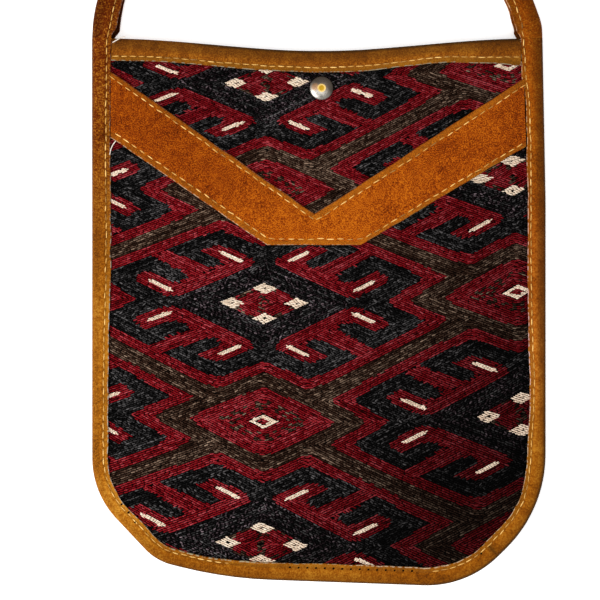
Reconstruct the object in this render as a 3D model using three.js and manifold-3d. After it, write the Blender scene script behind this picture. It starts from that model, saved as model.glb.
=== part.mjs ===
// A flat kilim crossbody bag, lying on its back with its front face up.
// Millimetres, +Z up, +Y towards the mouth.
// The origin is on the surface it lies on, under the middle of the bag.
//
// Two panels are bound together round the sides and the bottom by one folded suede strip, each panel's
// mouth edge has a folded strip of its own, a V of suede is sewn flat on the front, and a press snap
// closes the mouth. The back half is flat. The front half follows one lifted surface, so every layer of
// it keeps the same distance from the next.

import * as THREE from 'three';
import { mergeVertices } from 'three/addons/utils/BufferGeometryUtils.js';
import Module from 'manifold-3d';

const wasm = await Module();
wasm.setup();

// Bag outline
const BAG_WIDTH = 250;
const BAG_HEIGHT = 301.4;
const MOUTH_SAG = 7.1; // dip of the mouth edge between its corners
const LEFT_CUT_WIDTH = 35.3; // cut-off lower left corner
const LEFT_CUT_HEIGHT = 51;
const LEFT_CUT_FOOT = 13.6; // height of the cut's lower end over the bottom edge
const LEFT_UPPER_RADIUS = 49;
const LEFT_LOWER_RADIUS = 30;
const BEND_FROM_LEFT = 73.6; // the bottom edge bends a little here
const BEND_RISE = 4;
const BEND_RADIUS = 237;
const RIGHT_CUT_WIDTH = 43.3; // cut-off lower right corner
const RIGHT_CUT_HEIGHT = 42;
const RIGHT_CUT_DROP = 0.8; // its sharp lower end would be below the rounded bottom edge
const RIGHT_LOWER_RADIUS = 56;
const RIGHT_UPPER_RADIUS = 73;
const RIGHT_LEAN = 1.8; // the right side leans in by this much at its top
const RIGHT_LEAN_DROP = 90; // and starts to lean this far below the top
const RIGHT_LEAN_RADIUS = 200;
const ARC_STEP_DEGREES = 6;

// Layers
const GAP = 0.3; // clearance between neighbouring pieces
const BINDING_SUEDE = 1.0;
const BACK_SUEDE = 1.2;
const LINING = 0.4;
const CLOTH = 2.1;
const BROCADE = 0.5; // height of the raised motif over the cloth
const BAND_SUEDE = 1.0;

// Width of each folded leaf on the face of the bag
const SIDE_LEAF = 10.3;
const BOTTOM_LEAF = 9.8;
const MOUTH_LEAF = 12.2;
const LEAF_EASE = 1.6; // how soon a side leaf turns into a bottom leaf on its way round a corner

// Fullness of the front
const POCKET_BULGE = 8;
const POCKET_MIDDLE_Y = 20; // the pocket is full above this height
const MOUTH_LOBE = 9; // the mouth stands open this far on both sides of the snap
const MOUTH_BLEND_LOW_Y = 40; // between these heights the pocket's shape turns into the mouth's
const MOUTH_BLEND_HIGH_Y = 105;
const SNAP_PINCH_REACH = 28; // how far from the snap the mouth is still drawn together
const DOME_POWER = 4; // how late the fullness falls off towards its edges
const SURFACE_STEP = 17; // facets of the lifted surface

// V band on the front, as drops below the top of the bag and places across it
const BAND_LEFT_UPPER_DROP = 18.4;
const BAND_LEFT_LOWER_DROP = 54.8;
const BAND_RIGHT_UPPER_DROP = 22;
const BAND_RIGHT_LOWER_DROP = 59.6;
const BAND_NOTCH_DROP = 97;
const BAND_NOTCH_X = -2.4;
const BAND_FOOT_DROP = 113.9;
const BAND_FOOT_LEFT_X = -28.6;
const BAND_FOOT_RIGHT_X = 23.1;

// Press snap
const SNAP_X = 1.4;
const SNAP_DROP = 27.7;
const SNAP_PAD = 10; // half the flat patch round the snap
const CAP_RADIUS = 6.55;
const CAP_HEIGHT = 2.6;
const CAP_RIM = 0.9; // the cap's edge turns under by this much
const CROWN_STEPS = 6;
const POST_RADIUS = 1.6;
const SOCKET_RADIUS = 5;
const SOCKET_HEIGHT = 3.2;
const SOCKET_LIP = 0.9; // the socket's floor round the post
const STUD_RADIUS = 5;
const STUD_FLANGE = 0.8;
const STUD_BALL_RADIUS = 2.05;
const STUD_BALL_HEIGHT = 2.3;
const STUD_NECK_RADIUS = 1.7;
const STUD_BORE_DEPTH = 0.6;
const STUD_NECK_SHARE = 0.3; // places on the ball, as shares of its height
const STUD_BELLY_SHARE = 0.55;
const STUD_SHOULDER_SHARE = 0.88;
const STUD_SHOULDER_RADIUS = 1.64;
const RIVET_HEAD_RADIUS = 4.5;
const RIVET_HEAD = 0.7;
const RIVET_STEM_RADIUS = 1.0;
const ROUND_SEGMENTS = 24;

// Shoulder strap, a folded strip
const STRAP_WIDTH = 14.7;
const STRAP_THICKNESS = 4;
const STRAP_EDGE = 1.1; // bevel of the strap's section
const STRAP_STEPS = 78;

// Brocaded motif: medallions with hooked arms on a lattice. Lattice coordinates run along its two
// diagonals, and a medallion is 2 units from the next one on the same diagonal.
const MOTIF_COLUMN = 140;
const MOTIF_ROW = 57.5;
const MOTIF_ROW_GROWTH = 1.5; // rows get a little taller towards the bottom
const MOTIF_ROW_BOW = 7.4; // rows sag in the middle
const MOTIF_X = -31.3;
const MOTIF_TOP_DROP = 17.6;
const BORDER_OUTER = { reach: 0.93, corner: 0.575 };
const BORDER_INNER = { reach: 0.82, corner: 0.477 };
const LOZENGE_REACH = 0.297;
const DOT_PLACE = 0.124;
const DOT_REACH = 0.064;
const ARM_INNER = 0.378;
const ARM_BAR = 0.497;
const ARM_WIDE = 0.335;
const HOOK_END = 0.695;
const HOOK_INSIDE = 0.2;
const STEM_SIDE_THIN = 0.05; // the stem is thinner on the side towards the next medallion across
const STEM_SIDE_THICK = 0.078;
const STEM_END = 0.88;
const MOTIF_EDGE_STEP = 0.35; // long straight edges follow the sagging rows in steps of this much

// Places worked out from the sizes above
const halfWidth = BAG_WIDTH / 2;
const topY = BAG_HEIGHT / 2;
const seamX = halfWidth - SIDE_LEAF;
const bindingEndX = seamX - GAP;
const snapY = topY - SNAP_DROP;
const wallInset = BINDING_SUEDE + GAP;
const beyond = 30; // cutting shapes reach past the bag by this much
const cutTop = 80; // and through its whole height

// Heights of the layers. Those of the front are counted from the lifted surface.
const backPanelLow = BINDING_SUEDE + GAP;
const backPanelHigh = backPanelLow + BACK_SUEDE;
const backLiningLow = backPanelHigh + GAP;
const backLiningHigh = backLiningLow + LINING;
const frontLiningLow = backLiningHigh + GAP;
const frontLiningHigh = frontLiningLow + LINING;
const clothLow = frontLiningHigh + GAP;
const clothHigh = clothLow + CLOTH;
const brocadeHigh = clothHigh + BROCADE;
const faceLow = brocadeHigh + GAP; // the underside of everything sewn on the face

// How far the front has to lift for what lies between the panels
const seamLift = 2 * (BINDING_SUEDE + GAP);
const snapLift = STUD_FLANGE + SOCKET_HEIGHT + 2 * GAP;

// Solids and meshes

function solidOf(geometry) {
  const plain = geometry.clone();
  plain.deleteAttribute('normal');
  plain.deleteAttribute('uv');
  const merged = mergeVertices(plain, 1e-4);
  return new wasm.Manifold(new wasm.Mesh({
    numProp: 3,
    vertProperties: new Float32Array(merged.attributes.position.array),
    triVerts: new Uint32Array(merged.index.array),
  }));
}

function geometryOf(solid) {
  const mesh = solid.getMesh();
  const geometry = new THREE.BufferGeometry();
  geometry.setAttribute('position', new THREE.BufferAttribute(mesh.vertProperties, 3));
  geometry.setIndex(new THREE.BufferAttribute(mesh.triVerts, 1));
  geometry.computeVertexNormals();
  return geometry;
}

function prism(points, low = -beyond, high = cutTop) {
  const shape = new THREE.Shape(points);
  const geometry = new THREE.ExtrudeGeometry(shape, { depth: high - low, bevelEnabled: false });
  geometry.translate(0, 0, low);
  return solidOf(geometry);
}

function roundHole(x, y, radius) {
  const geometry = new THREE.CylinderGeometry(radius, radius, cutTop + beyond, ROUND_SEGMENTS);
  geometry.rotateX(Math.PI / 2);
  geometry.translate(x, y, (cutTop - beyond) / 2);
  return solidOf(geometry);
}

function turned(profile) {
  const points = profile.map(([radius, height]) => new THREE.Vector2(radius, height));
  const geometry = new THREE.LatheGeometry(points, ROUND_SEGMENTS);
  geometry.rotateX(Math.PI / 2);
  geometry.translate(SNAP_X, snapY, 0);
  return geometry;
}

// Outline: the rounded chain of straight edges from the top left corner down, along the bottom and up the
// right side

function roundedChain(corners) {
  const samples = [];
  corners.forEach((corner, index) => {
    const before = corners[index - 1];
    const after = corners[index + 1];
    const into = before && new THREE.Vector2(corner.x - before.x, corner.y - before.y).normalize();
    const out = after && new THREE.Vector2(after.x - corner.x, after.y - corner.y).normalize();
    const start = Math.atan2((into ?? out).y, (into ?? out).x);
    const turn = into && out ? Math.atan2(into.cross(out), into.dot(out)) : 0;
    const reach = corner.radius * Math.tan(turn / 2);
    const arcStart = new THREE.Vector2(corner.x, corner.y).addScaledVector(into ?? out, -reach);
    const centre = arcStart.clone().add(inward(start).multiplyScalar(corner.radius));
    const steps = Math.ceil(THREE.MathUtils.radToDeg(turn) / ARC_STEP_DEGREES);
    for (let step = 0; step <= steps; step += 1) {
      const normal = inward(start + (steps ? turn * step / steps : 0));
      samples.push({ point: centre.clone().addScaledVector(normal, -corner.radius), normal });
    }
  });
  return samples;
}

function inward(heading) {
  return new THREE.Vector2(-Math.sin(heading), Math.cos(heading));
}

function bagChain() {
  const low = -BAG_HEIGHT / 2;
  const chain = roundedChain([
    { x: -halfWidth, y: topY, radius: 0 },
    { x: -halfWidth, y: low + LEFT_CUT_HEIGHT, radius: LEFT_UPPER_RADIUS },
    { x: -halfWidth + LEFT_CUT_WIDTH, y: low + LEFT_CUT_FOOT, radius: LEFT_LOWER_RADIUS },
    { x: -halfWidth + BEND_FROM_LEFT, y: low + BEND_RISE, radius: BEND_RADIUS },
    { x: halfWidth - RIGHT_CUT_WIDTH, y: low - RIGHT_CUT_DROP, radius: RIGHT_LOWER_RADIUS },
    { x: halfWidth, y: low + RIGHT_CUT_HEIGHT, radius: RIGHT_UPPER_RADIUS },
    { x: halfWidth, y: topY - RIGHT_LEAN_DROP, radius: RIGHT_LEAN_RADIUS },
    { x: halfWidth - RIGHT_LEAN, y: topY, radius: 0 },
  ]);
  const lowest = Math.min(...chain.map(({ point }) => point.y));
  chain.slice(1, -1).forEach(({ point }) => {
    point.y += low - lowest;
  });
  return chain;
}

const chain = bagChain();

// The right side's place at a height above the lower right corner, and the end of what meets its leaf there
function rightX(y) {
  return halfWidth - RIGHT_LEAN * Math.max(0, 1 - (topY - y) / RIGHT_LEAN_DROP);
}

function rightEndX(drop) {
  return rightX(topY - drop) - SIDE_LEAF - GAP;
}

function mouthY(x) {
  return topY - MOUTH_SAG * (0.5 + 0.5 * Math.cos(2 * Math.PI * x / BAG_WIDTH));
}

function bottomY(x) {
  const place = THREE.MathUtils.clamp(x, -halfWidth + GAP, halfWidth - GAP);
  for (let index = 1; index < chain.length; index += 1) {
    const from = chain[index - 1].point;
    const to = chain[index].point;
    if (to.x > from.x && place >= from.x && place <= to.x) {
      return THREE.MathUtils.mapLinear(place, from.x, to.x, from.y, to.y);
    }
  }
  return -BAG_HEIGHT / 2;
}

// Points along a stretch of the mouth edge, lowered by a drop
function mouthPoints(fromX, toX, drop) {
  const steps = Math.ceil(Math.abs(toX - fromX) / SURFACE_STEP);
  return Array.from({ length: steps + 1 }, (_, step) => {
    const x = THREE.MathUtils.lerp(fromX, toX, step / steps);
    return new THREE.Vector2(x, mouthY(x) - drop);
  });
}

// The bag's face, drawn in from its sides and bottom by an inset and from the mouth by a drop
function bagRegion(insetAt, mouthDrop) {
  const sides = chain.slice(1, -1).map(({ point, normal }) => (
    point.clone().addScaledVector(normal, insetAt(normal))
  ));
  const sideInset = insetAt(new THREE.Vector2(1, 0));
  const rightEnd = rightX(topY - mouthDrop) - sideInset;
  return [...sides, ...mouthPoints(rightEnd, -halfWidth + sideInset, mouthDrop)];
}

function mouthStrip(upperDrop, lowerDrop) {
  return [
    ...mouthPoints(-bindingEndX, rightEndX(lowerDrop), lowerDrop),
    ...mouthPoints(rightEndX(upperDrop), -bindingEndX, upperDrop),
  ];
}

function leafInset(normal) {
  return THREE.MathUtils.lerp(SIDE_LEAF, BOTTOM_LEAF, Math.min(1, LEAF_EASE * normal.y));
}

// Lifted surface of the front

function dome(share) {
  return Math.max(0, 1 - share ** DOME_POWER);
}

function frontLift(x, y) {
  const across = dome(Math.abs(x) / seamX);
  const floorY = bottomY(x) + BOTTOM_LEAF;
  const depth = THREE.MathUtils.clamp((POCKET_MIDDLE_Y - y) / (POCKET_MIDDLE_Y - floorY), 0, 1);
  const pocket = POCKET_BULGE * across * dome(depth);
  const fromSnap = Math.max(0, Math.abs(x - SNAP_X) - SNAP_PAD);
  const pinch = Math.exp(-((fromSnap / SNAP_PINCH_REACH) ** 2));
  const mouth = seamLift + (MOUTH_LOBE - seamLift) * across - (MOUTH_LOBE - snapLift) * pinch;
  const opened = THREE.MathUtils.smoothstep(y, MOUTH_BLEND_LOW_Y, MOUTH_BLEND_HIGH_Y);
  return THREE.MathUtils.lerp(pocket, mouth, opened);
}

function gridLines(low, high, needed) {
  const count = Math.round((high - low) / SURFACE_STEP);
  const even = Array.from({ length: count + 1 }, (_, step) => THREE.MathUtils.lerp(low, high, step / count));
  const kept = even.filter((line) => needed.every((other) => Math.abs(line - other) > SURFACE_STEP / 2));
  return [...kept, ...needed].sort((one, two) => one - two);
}

const padX = [SNAP_X - SNAP_PAD, SNAP_X + SNAP_PAD];
const padY = [snapY - SNAP_PAD, snapY + SNAP_PAD];
const gridX = gridLines(-halfWidth - beyond, halfWidth + beyond, [-seamX, ...padX, seamX]);
const gridY = gridLines(-topY - beyond, topY + beyond, padY);

// A slab between two heights over the whole grid. A height follows the lifted surface by a share of 0
// or 1.
function slab(low, high, lowShare = 1, highShare = 1) {
  const columns = gridX.length;
  const rows = gridY.length;
  const positions = [];
  const faces = [];
  const corner = (column, row, upper) => 2 * (row * columns + column) + upper;
  const quad = (a, b, c, d) => faces.push(a, b, c, a, c, d);
  gridY.forEach((y) => gridX.forEach((x) => {
    const lift = frontLift(x, y);
    positions.push(x, y, low + lowShare * lift, x, y, high + highShare * lift);
  }));
  for (let row = 0; row < rows - 1; row += 1) {
    for (let column = 0; column < columns - 1; column += 1) {
      const ring = [[column, row], [column + 1, row], [column + 1, row + 1], [column, row + 1]];
      quad(...ring.map(([c, r]) => corner(c, r, 1)));
      const [a, b, c, d] = ring.map(([i, j]) => corner(i, j, 0));
      faces.push(a, c, b, a, d, c);
    }
  }
  const wall = (from, to) => quad(corner(...from, 0), corner(...to, 0), corner(...to, 1), corner(...from, 1));
  for (let column = 0; column < columns - 1; column += 1) {
    wall([column, 0], [column + 1, 0]);
    wall([column + 1, rows - 1], [column, rows - 1]);
  }
  for (let row = 0; row < rows - 1; row += 1) {
    wall([columns - 1, row], [columns - 1, row + 1]);
    wall([0, row + 1], [0, row]);
  }
  const geometry = new THREE.BufferGeometry();
  geometry.setAttribute('position', new THREE.Float32BufferAttribute(positions, 3));
  geometry.setIndex(faces);
  return solidOf(geometry);
}

// Brocaded motif

function latticePoint(p, q) {
  const column = (p + q) / 2;
  const row = (p - q) / 2;
  const x = MOTIF_X + MOTIF_COLUMN * column;
  const bow = MOTIF_ROW_BOW * (1 - (x / halfWidth) ** 2);
  return new THREE.Vector2(x, topY - MOTIF_TOP_DROP - MOTIF_ROW * row - MOTIF_ROW_GROWTH * row * row - bow);
}

// A closed lattice outline with its long edges cut into short steps
function latticeOutline(centre, corners) {
  return corners.flatMap(([p, q], index) => {
    const [nextP, nextQ] = corners[(index + 1) % corners.length];
    const steps = Math.ceil(Math.hypot(nextP - p, nextQ - q) / MOTIF_EDGE_STEP);
    return Array.from({ length: steps }, (_, step) => latticePoint(
      centre.p + THREE.MathUtils.lerp(p, nextP, step / steps),
      centre.q + THREE.MathUtils.lerp(q, nextQ, step / steps),
    ));
  });
}

function square(middleP, middleQ, reach) {
  return [
    [middleP - reach, middleQ - reach],
    [middleP + reach, middleQ - reach],
    [middleP + reach, middleQ + reach],
    [middleP - reach, middleQ + reach],
  ];
}

// A square with a square notch out of each corner
function cross({ reach, corner }) {
  const quarter = [[reach, -corner], [reach, corner], [corner, corner]];
  return [0, 1, 2, 3].flatMap((turn) => quarter.map((point) => quarterTurns(point, turn)));
}

function quarterTurns([p, q], turns) {
  return turns === 0 ? [p, q] : quarterTurns([-q, p], turns - 1);
}

// One hooked arm: a bar with a hook at each end and a stem in the middle that runs out to the border
const arm = [
  [ARM_INNER, -ARM_WIDE],
  [HOOK_END, -ARM_WIDE],
  [HOOK_END, -HOOK_INSIDE],
  [ARM_BAR, -HOOK_INSIDE],
  [ARM_BAR, -STEM_SIDE_THICK],
  [STEM_END, -STEM_SIDE_THICK],
  [STEM_END, STEM_SIDE_THIN],
  [ARM_BAR, STEM_SIDE_THIN],
  [ARM_BAR, HOOK_INSIDE],
  [HOOK_END, HOOK_INSIDE],
  [HOOK_END, ARM_WIDE],
  [ARM_INNER, ARM_WIDE],
];

// The arm points along each diagonal, both ways, with the thin side of its stem towards the sides of the bag
const armTurns = [
  ([along, across]) => [along, across],
  ([along, across]) => [-along, -across],
  ([along, across]) => [across, along],
  ([along, across]) => [-across, -along],
];

function medallion(centre) {
  const raised = (corners) => prism(latticeOutline(centre, corners));
  let solid = raised(cross(BORDER_OUTER)).subtract(raised(cross(BORDER_INNER)));
  armTurns.forEach((turn) => {
    solid = solid.add(raised(arm.map(turn)));
  });
  [[1, 1], [1, -1], [-1, 1], [-1, -1]].forEach(([p, q]) => {
    solid = solid.add(raised(square(p * DOT_PLACE, q * DOT_PLACE, DOT_REACH)));
  });
  return solid;
}

function motif() {
  let solid = null;
  const columns = Math.ceil(BAG_WIDTH / MOTIF_COLUMN);
  const rows = Math.ceil(BAG_HEIGHT / MOTIF_ROW);
  for (let column = -columns; column <= columns; column += 1) {
    for (let row = -1; row <= rows; row += 1) {
      const centre = { p: column + row, q: column - row };
      const even = (column + row) % 2 === 0;
      const piece = even ? medallion(centre) : prism(latticeOutline(centre, square(0, 0, LOZENGE_REACH)));
      solid = solid ? solid.add(piece) : piece;
    }
  }
  return solid;
}

// Pieces

const panelRegion = bagRegion(() => wallInset, wallInset);
const frontHole = roundHole(SNAP_X, snapY, POST_RADIUS + GAP);
const backHole = roundHole(SNAP_X, snapY, RIVET_STEM_RADIUS + GAP);

function frontPanel() {
  const cloth = slab(clothLow, clothHigh);
  const raised = slab(clothHigh - BROCADE / 2, brocadeHigh).intersect(motif());
  return cloth.add(raised).intersect(prism(panelRegion)).subtract(frontHole);
}

function frontLining() {
  return slab(frontLiningLow, frontLiningHigh).intersect(prism(panelRegion)).subtract(frontHole);
}

function backPanel() {
  return prism(panelRegion, backPanelLow, backPanelHigh).subtract(backHole);
}

function backLining() {
  return prism(panelRegion, backLiningLow, backLiningHigh).subtract(backHole);
}

// One strip folded over the rims of both panels
function edgeBinding() {
  const outside = slab(0, faceLow + BINDING_SUEDE, 0, 1).intersect(prism(bagRegion(() => 0, 0)));
  const within = prism(bagRegion(() => BINDING_SUEDE, -beyond));
  const inside = slab(BINDING_SUEDE, faceLow, 0, 1).intersect(within);
  return outside.subtract(inside).subtract(prism(bagRegion(leafInset, -beyond)));
}

function mouthBindingFront() {
  const low = frontLiningLow - GAP - BINDING_SUEDE;
  const high = faceLow + BINDING_SUEDE;
  const outside = slab(low, high).intersect(prism(mouthStrip(0, MOUTH_LEAF)));
  const inside = slab(low + BINDING_SUEDE, faceLow);
  return outside.subtract(inside.intersect(prism(mouthStrip(BINDING_SUEDE, MOUTH_LEAF + beyond))));
}

function mouthBindingBack() {
  const high = backLiningHigh + GAP + BINDING_SUEDE;
  const inside = prism(mouthStrip(BINDING_SUEDE, MOUTH_LEAF + beyond), BINDING_SUEDE, high - BINDING_SUEDE);
  return prism(mouthStrip(0, MOUTH_LEAF), 0, high).subtract(inside);
}

function chevronBand() {
  const outline = [
    [-bindingEndX, BAND_LEFT_UPPER_DROP],
    [-bindingEndX, BAND_LEFT_LOWER_DROP],
    [BAND_FOOT_LEFT_X, BAND_FOOT_DROP],
    [BAND_FOOT_RIGHT_X, BAND_FOOT_DROP],
    [rightEndX(BAND_RIGHT_LOWER_DROP), BAND_RIGHT_LOWER_DROP],
    [rightEndX(BAND_RIGHT_UPPER_DROP), BAND_RIGHT_UPPER_DROP],
    [BAND_NOTCH_X, BAND_NOTCH_DROP],
  ].map(([x, drop]) => new THREE.Vector2(x, topY - drop));
  return slab(faceLow, faceLow + BAND_SUEDE).intersect(prism(outline));
}

// Press snap, from the front of the bag to the back

const socketHigh = frontLiningLow + snapLift - GAP;
const socketLow = socketHigh - SOCKET_HEIGHT;
const studLow = backLiningHigh + GAP;
const studTop = studLow + STUD_FLANGE + STUD_BALL_HEIGHT;

function snapCap() {
  const low = faceLow + snapLift;
  const postEnd = socketHigh - SOCKET_LIP + GAP;
  const rimHigh = low + CAP_RIM / 2;
  const rise = CAP_HEIGHT - CAP_RIM / 2;
  const crown = Array.from({ length: CROWN_STEPS }, (_, step) => {
    const angle = (Math.PI / 2) * (step / CROWN_STEPS);
    return [CAP_RADIUS * Math.cos(angle), rimHigh + rise * Math.sin(angle)];
  });
  return turned([
    [0, postEnd],
    [POST_RADIUS, postEnd],
    [POST_RADIUS, low],
    [CAP_RADIUS - CAP_RIM, low],
    ...crown,
    [0, rimHigh + rise],
  ]);
}

function snapSocket() {
  const bore = STUD_BALL_RADIUS + GAP;
  const lipLow = socketHigh - SOCKET_LIP;
  const hole = POST_RADIUS + GAP;
  return turned([
    [bore, socketLow],
    [SOCKET_RADIUS, socketLow],
    [SOCKET_RADIUS, socketHigh],
    [hole, socketHigh],
    [hole, lipLow],
    [bore, lipLow],
    [bore, socketLow],
  ]);
}

function snapStud() {
  const flangeHigh = studLow + STUD_FLANGE;
  const bore = RIVET_STEM_RADIUS + GAP;
  const boreEnd = studLow + STUD_BORE_DEPTH;
  return turned([
    [0, boreEnd],
    [bore, boreEnd],
    [bore, studLow],
    [STUD_RADIUS, studLow],
    [STUD_RADIUS, flangeHigh],
    [STUD_NECK_RADIUS, flangeHigh],
    [STUD_NECK_RADIUS, flangeHigh + STUD_BALL_HEIGHT * STUD_NECK_SHARE],
    [STUD_BALL_RADIUS, flangeHigh + STUD_BALL_HEIGHT * STUD_BELLY_SHARE],
    [STUD_SHOULDER_RADIUS, flangeHigh + STUD_BALL_HEIGHT * STUD_SHOULDER_SHARE],
    [0, studTop],
  ]);
}

function snapBackRivet() {
  const headHigh = backPanelLow - GAP;
  const stemEnd = studLow + STUD_BORE_DEPTH - GAP;
  return turned([
    [0, headHigh - RIVET_HEAD],
    [RIVET_HEAD_RADIUS, headHigh - RIVET_HEAD],
    [RIVET_HEAD_RADIUS, headHigh],
    [RIVET_STEM_RADIUS, headHigh],
    [RIVET_STEM_RADIUS, stemEnd],
    [0, stemEnd],
  ]);
}

// The strap leaves the left corner, passes under its other leg, lies in a round loop and comes back over
// itself to the right corner. Its points are a place across, a rise over the top of the bag and a height;
// those of the legs are counted in from the corner that the leg starts at.
const leftLeg = [
  [7.4, 0.3, 5.4], [8.1, 10, 4.9], [10.4, 21, 4.1], [16, 35, 3.2], [25, 48, 2.7], [45, 61, 2.5],
];
const loop = [
  [-54, 73.5, 2.5], [-30, 91, 2.5], [0, 120, 2.5], [30, 150, 2.5], [60.8, 181, 2.5], [79.5, 209, 2.5],
  [86, 242, 2.5], [79.5, 275, 2.5], [60.8, 303, 2.5], [32.9, 321.5, 2.5], [0, 328, 2.5],
  [-32.9, 321.5, 2.5], [-60.8, 303, 2.5], [-79.5, 275, 2.5], [-86, 242, 2.5], [-79.5, 209, 2.5],
  [-60.8, 181, 2.6], [-40, 160, 3.8], [-20, 140, 6.2], [0, 120, 7.3], [20, 100.5, 6.2],
  [38, 84, 3.8], [54, 73.5, 2.8],
];
const rightLeg = [
  [45, 61, 2.5], [28, 48, 2.7], [19.5, 35, 3.2], [12.9, 21, 4.1], [9.9, 13, 4.7], [7.7, 6, 5.1],
  [7.4, 0.3, 5.4],
];
const strapRoute = [
  ...leftLeg.map(([inside, rise, height]) => [inside - halfWidth, topY + rise, height]),
  ...loop.map(([x, rise, height]) => [x, topY + rise, height]),
  ...rightLeg.map(([inside, rise, height]) => [rightX(topY) - inside, topY + rise, height]),
];

function shoulderStrap() {
  const points = strapRoute.map((point) => new THREE.Vector3(...point));
  const curve = new THREE.CatmullRomCurve3(points);
  const high = STRAP_THICKNESS / 2;
  const wide = STRAP_WIDTH / 2;
  const section = new THREE.Shape([
    new THREE.Vector2(-high, -wide + STRAP_EDGE),
    new THREE.Vector2(-high + STRAP_EDGE, -wide),
    new THREE.Vector2(high - STRAP_EDGE, -wide),
    new THREE.Vector2(high, -wide + STRAP_EDGE),
    new THREE.Vector2(high, wide - STRAP_EDGE),
    new THREE.Vector2(high - STRAP_EDGE, wide),
    new THREE.Vector2(-high + STRAP_EDGE, wide),
    new THREE.Vector2(-high, wide - STRAP_EDGE),
  ]);
  return new THREE.ExtrudeGeometry(section, { steps: STRAP_STEPS, extrudePath: curve });
}

// Finishes

const suede = new THREE.MeshStandardMaterial({ color: 0xb8701a, roughness: 0.9, metalness: 0 });
const strapSuede = new THREE.MeshStandardMaterial({ color: 0x8a4a12, roughness: 0.9, metalness: 0 });
const kilim = new THREE.MeshStandardMaterial({ color: 0x5a1820, roughness: 0.95, metalness: 0 });
const cotton = new THREE.MeshStandardMaterial({ color: 0x2a211c, roughness: 0.95, metalness: 0 });
const nickel = new THREE.MeshStandardMaterial({ color: 0xa9a59c, roughness: 0.35, metalness: 1 });
const brass = new THREE.MeshStandardMaterial({ color: 0xa88444, roughness: 0.4, metalness: 1 });

// The bag

const bag = new THREE.Group();

function place(name, geometry, material) {
  const mesh = new THREE.Mesh(geometry, material);
  mesh.name = name;
  bag.add(mesh);
}

place('front_panel', geometryOf(frontPanel()), kilim);
place('front_lining', geometryOf(frontLining()), cotton);
place('back_panel', geometryOf(backPanel()), suede);
place('back_lining', geometryOf(backLining()), cotton);
place('edge_binding', geometryOf(edgeBinding()), suede);
place('top_binding_front', geometryOf(mouthBindingFront()), suede);
place('top_binding_back', geometryOf(mouthBindingBack()), suede);
place('chevron_band', geometryOf(chevronBand()), suede);
place('shoulder_strap', shoulderStrap(), strapSuede);
place('snap_cap', snapCap(), nickel);
place('snap_socket', snapSocket(), brass);
place('snap_stud', snapStud(), brass);
place('snap_back_rivet', snapBackRivet(), brass);

export default bag;
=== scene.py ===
"""A flat kilim crossbody bag lying on its back, seen from straight above.

The bag is put together here as it is sewn: yarn laid stitch by stitch on the cloth front, suede strips
folded over the edges, a V of suede on the front, thread along every seam, a press snap and the folded strap.
Lengths are millimetres until a mesh is made.
"""
import math

import bmesh
import bpy
import numpy as np
from mathutils import Matrix, Vector


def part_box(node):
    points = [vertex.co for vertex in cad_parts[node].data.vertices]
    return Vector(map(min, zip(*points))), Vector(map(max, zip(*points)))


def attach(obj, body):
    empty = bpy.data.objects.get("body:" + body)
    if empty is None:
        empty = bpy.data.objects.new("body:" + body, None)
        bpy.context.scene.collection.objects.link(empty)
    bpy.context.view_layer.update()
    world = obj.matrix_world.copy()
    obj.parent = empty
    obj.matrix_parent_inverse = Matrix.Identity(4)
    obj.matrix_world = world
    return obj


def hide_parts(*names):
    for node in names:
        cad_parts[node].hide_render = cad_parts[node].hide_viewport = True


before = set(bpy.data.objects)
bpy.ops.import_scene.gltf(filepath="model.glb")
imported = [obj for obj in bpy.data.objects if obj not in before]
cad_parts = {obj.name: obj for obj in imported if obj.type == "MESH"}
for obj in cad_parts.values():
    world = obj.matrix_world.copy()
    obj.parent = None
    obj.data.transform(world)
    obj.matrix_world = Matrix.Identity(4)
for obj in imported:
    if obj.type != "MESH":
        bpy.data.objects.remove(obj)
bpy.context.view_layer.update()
chance = np.random.default_rng(11)

MM = 0.001

# Bag outline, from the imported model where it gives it
HALF_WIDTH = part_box("edge_binding")[1].x / MM
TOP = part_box("edge_binding")[1].y / MM
LOW = -TOP
MOUTH_SAG = 7.1
RIGHT_LEAN = 1.8  # the right side leans in by this much at its top
RIGHT_LEAN_DROP = 90  # and starts to lean this far below the top
CORNERS = (  # from the top left corner down and round: x, y, radius
    (-HALF_WIDTH, TOP, 0),
    (-HALF_WIDTH, LOW + 51, 49),
    (-HALF_WIDTH + 35.3, LOW + 13.6, 30),
    (-HALF_WIDTH + 73.6, LOW + 4, 237),
    (HALF_WIDTH - 43.3, LOW - 0.8, 56),
    (HALF_WIDTH, LOW + 42, 73),
    (HALF_WIDTH, TOP - RIGHT_LEAN_DROP, 200),
    (HALF_WIDTH - RIGHT_LEAN, TOP, 0),
)
ARC_STEP = math.radians(3)
PATH_STEP = 1.5  # from one ring to the next along a sewn strip

# Widths of the folded leaves on the face
SIDE_LEAF = 10.3
BOTTOM_LEAF = 9.8
MOUTH_PLACES = (  # the hand-cut mouth leaf: x, its width there, and how far in from its cut edge it is sewn
    (-110, 12.3, 2.4), (-80, 11.8, 2.3), (-40, 11.8, 2.4), (-20, 12.1, 2.9), (0, 12.0, 2.7), (25, 11.8, 2.7),
    (38, 11.4, 2.5), (48, 10.7, 2.3), (60, 10.6, 2.9), (70, 11.2, 3.3), (82, 12.2, 3.0), (97, 13.4, 3.5),
    (108, 15.0, 4.9),
)
LEAF_PLACES = (  # the hand-cut edge leaf: lengths along the strip from its left end, and widths there
    (0, 10.9), (70, 10.2), (95, 10.6), (115, 10.7), (135, 10.4), (165, 9.4), (245, 8.8), (340, 9.4),
    (400, 10.3), (480, 10.3), (503, 10.7), (527, 9.4), (548, 10.8), (566, 10.1), (585, 8.9), (602, 8.8),
    (618, 9.4), (636, 10.1), (699, 10.0), (730, 9.9), (748, 10.1), (757, 10.7), (766, 12.0), (780, 12.4),
)
SEAM_X = HALF_WIDTH - SIDE_LEAF
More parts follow.
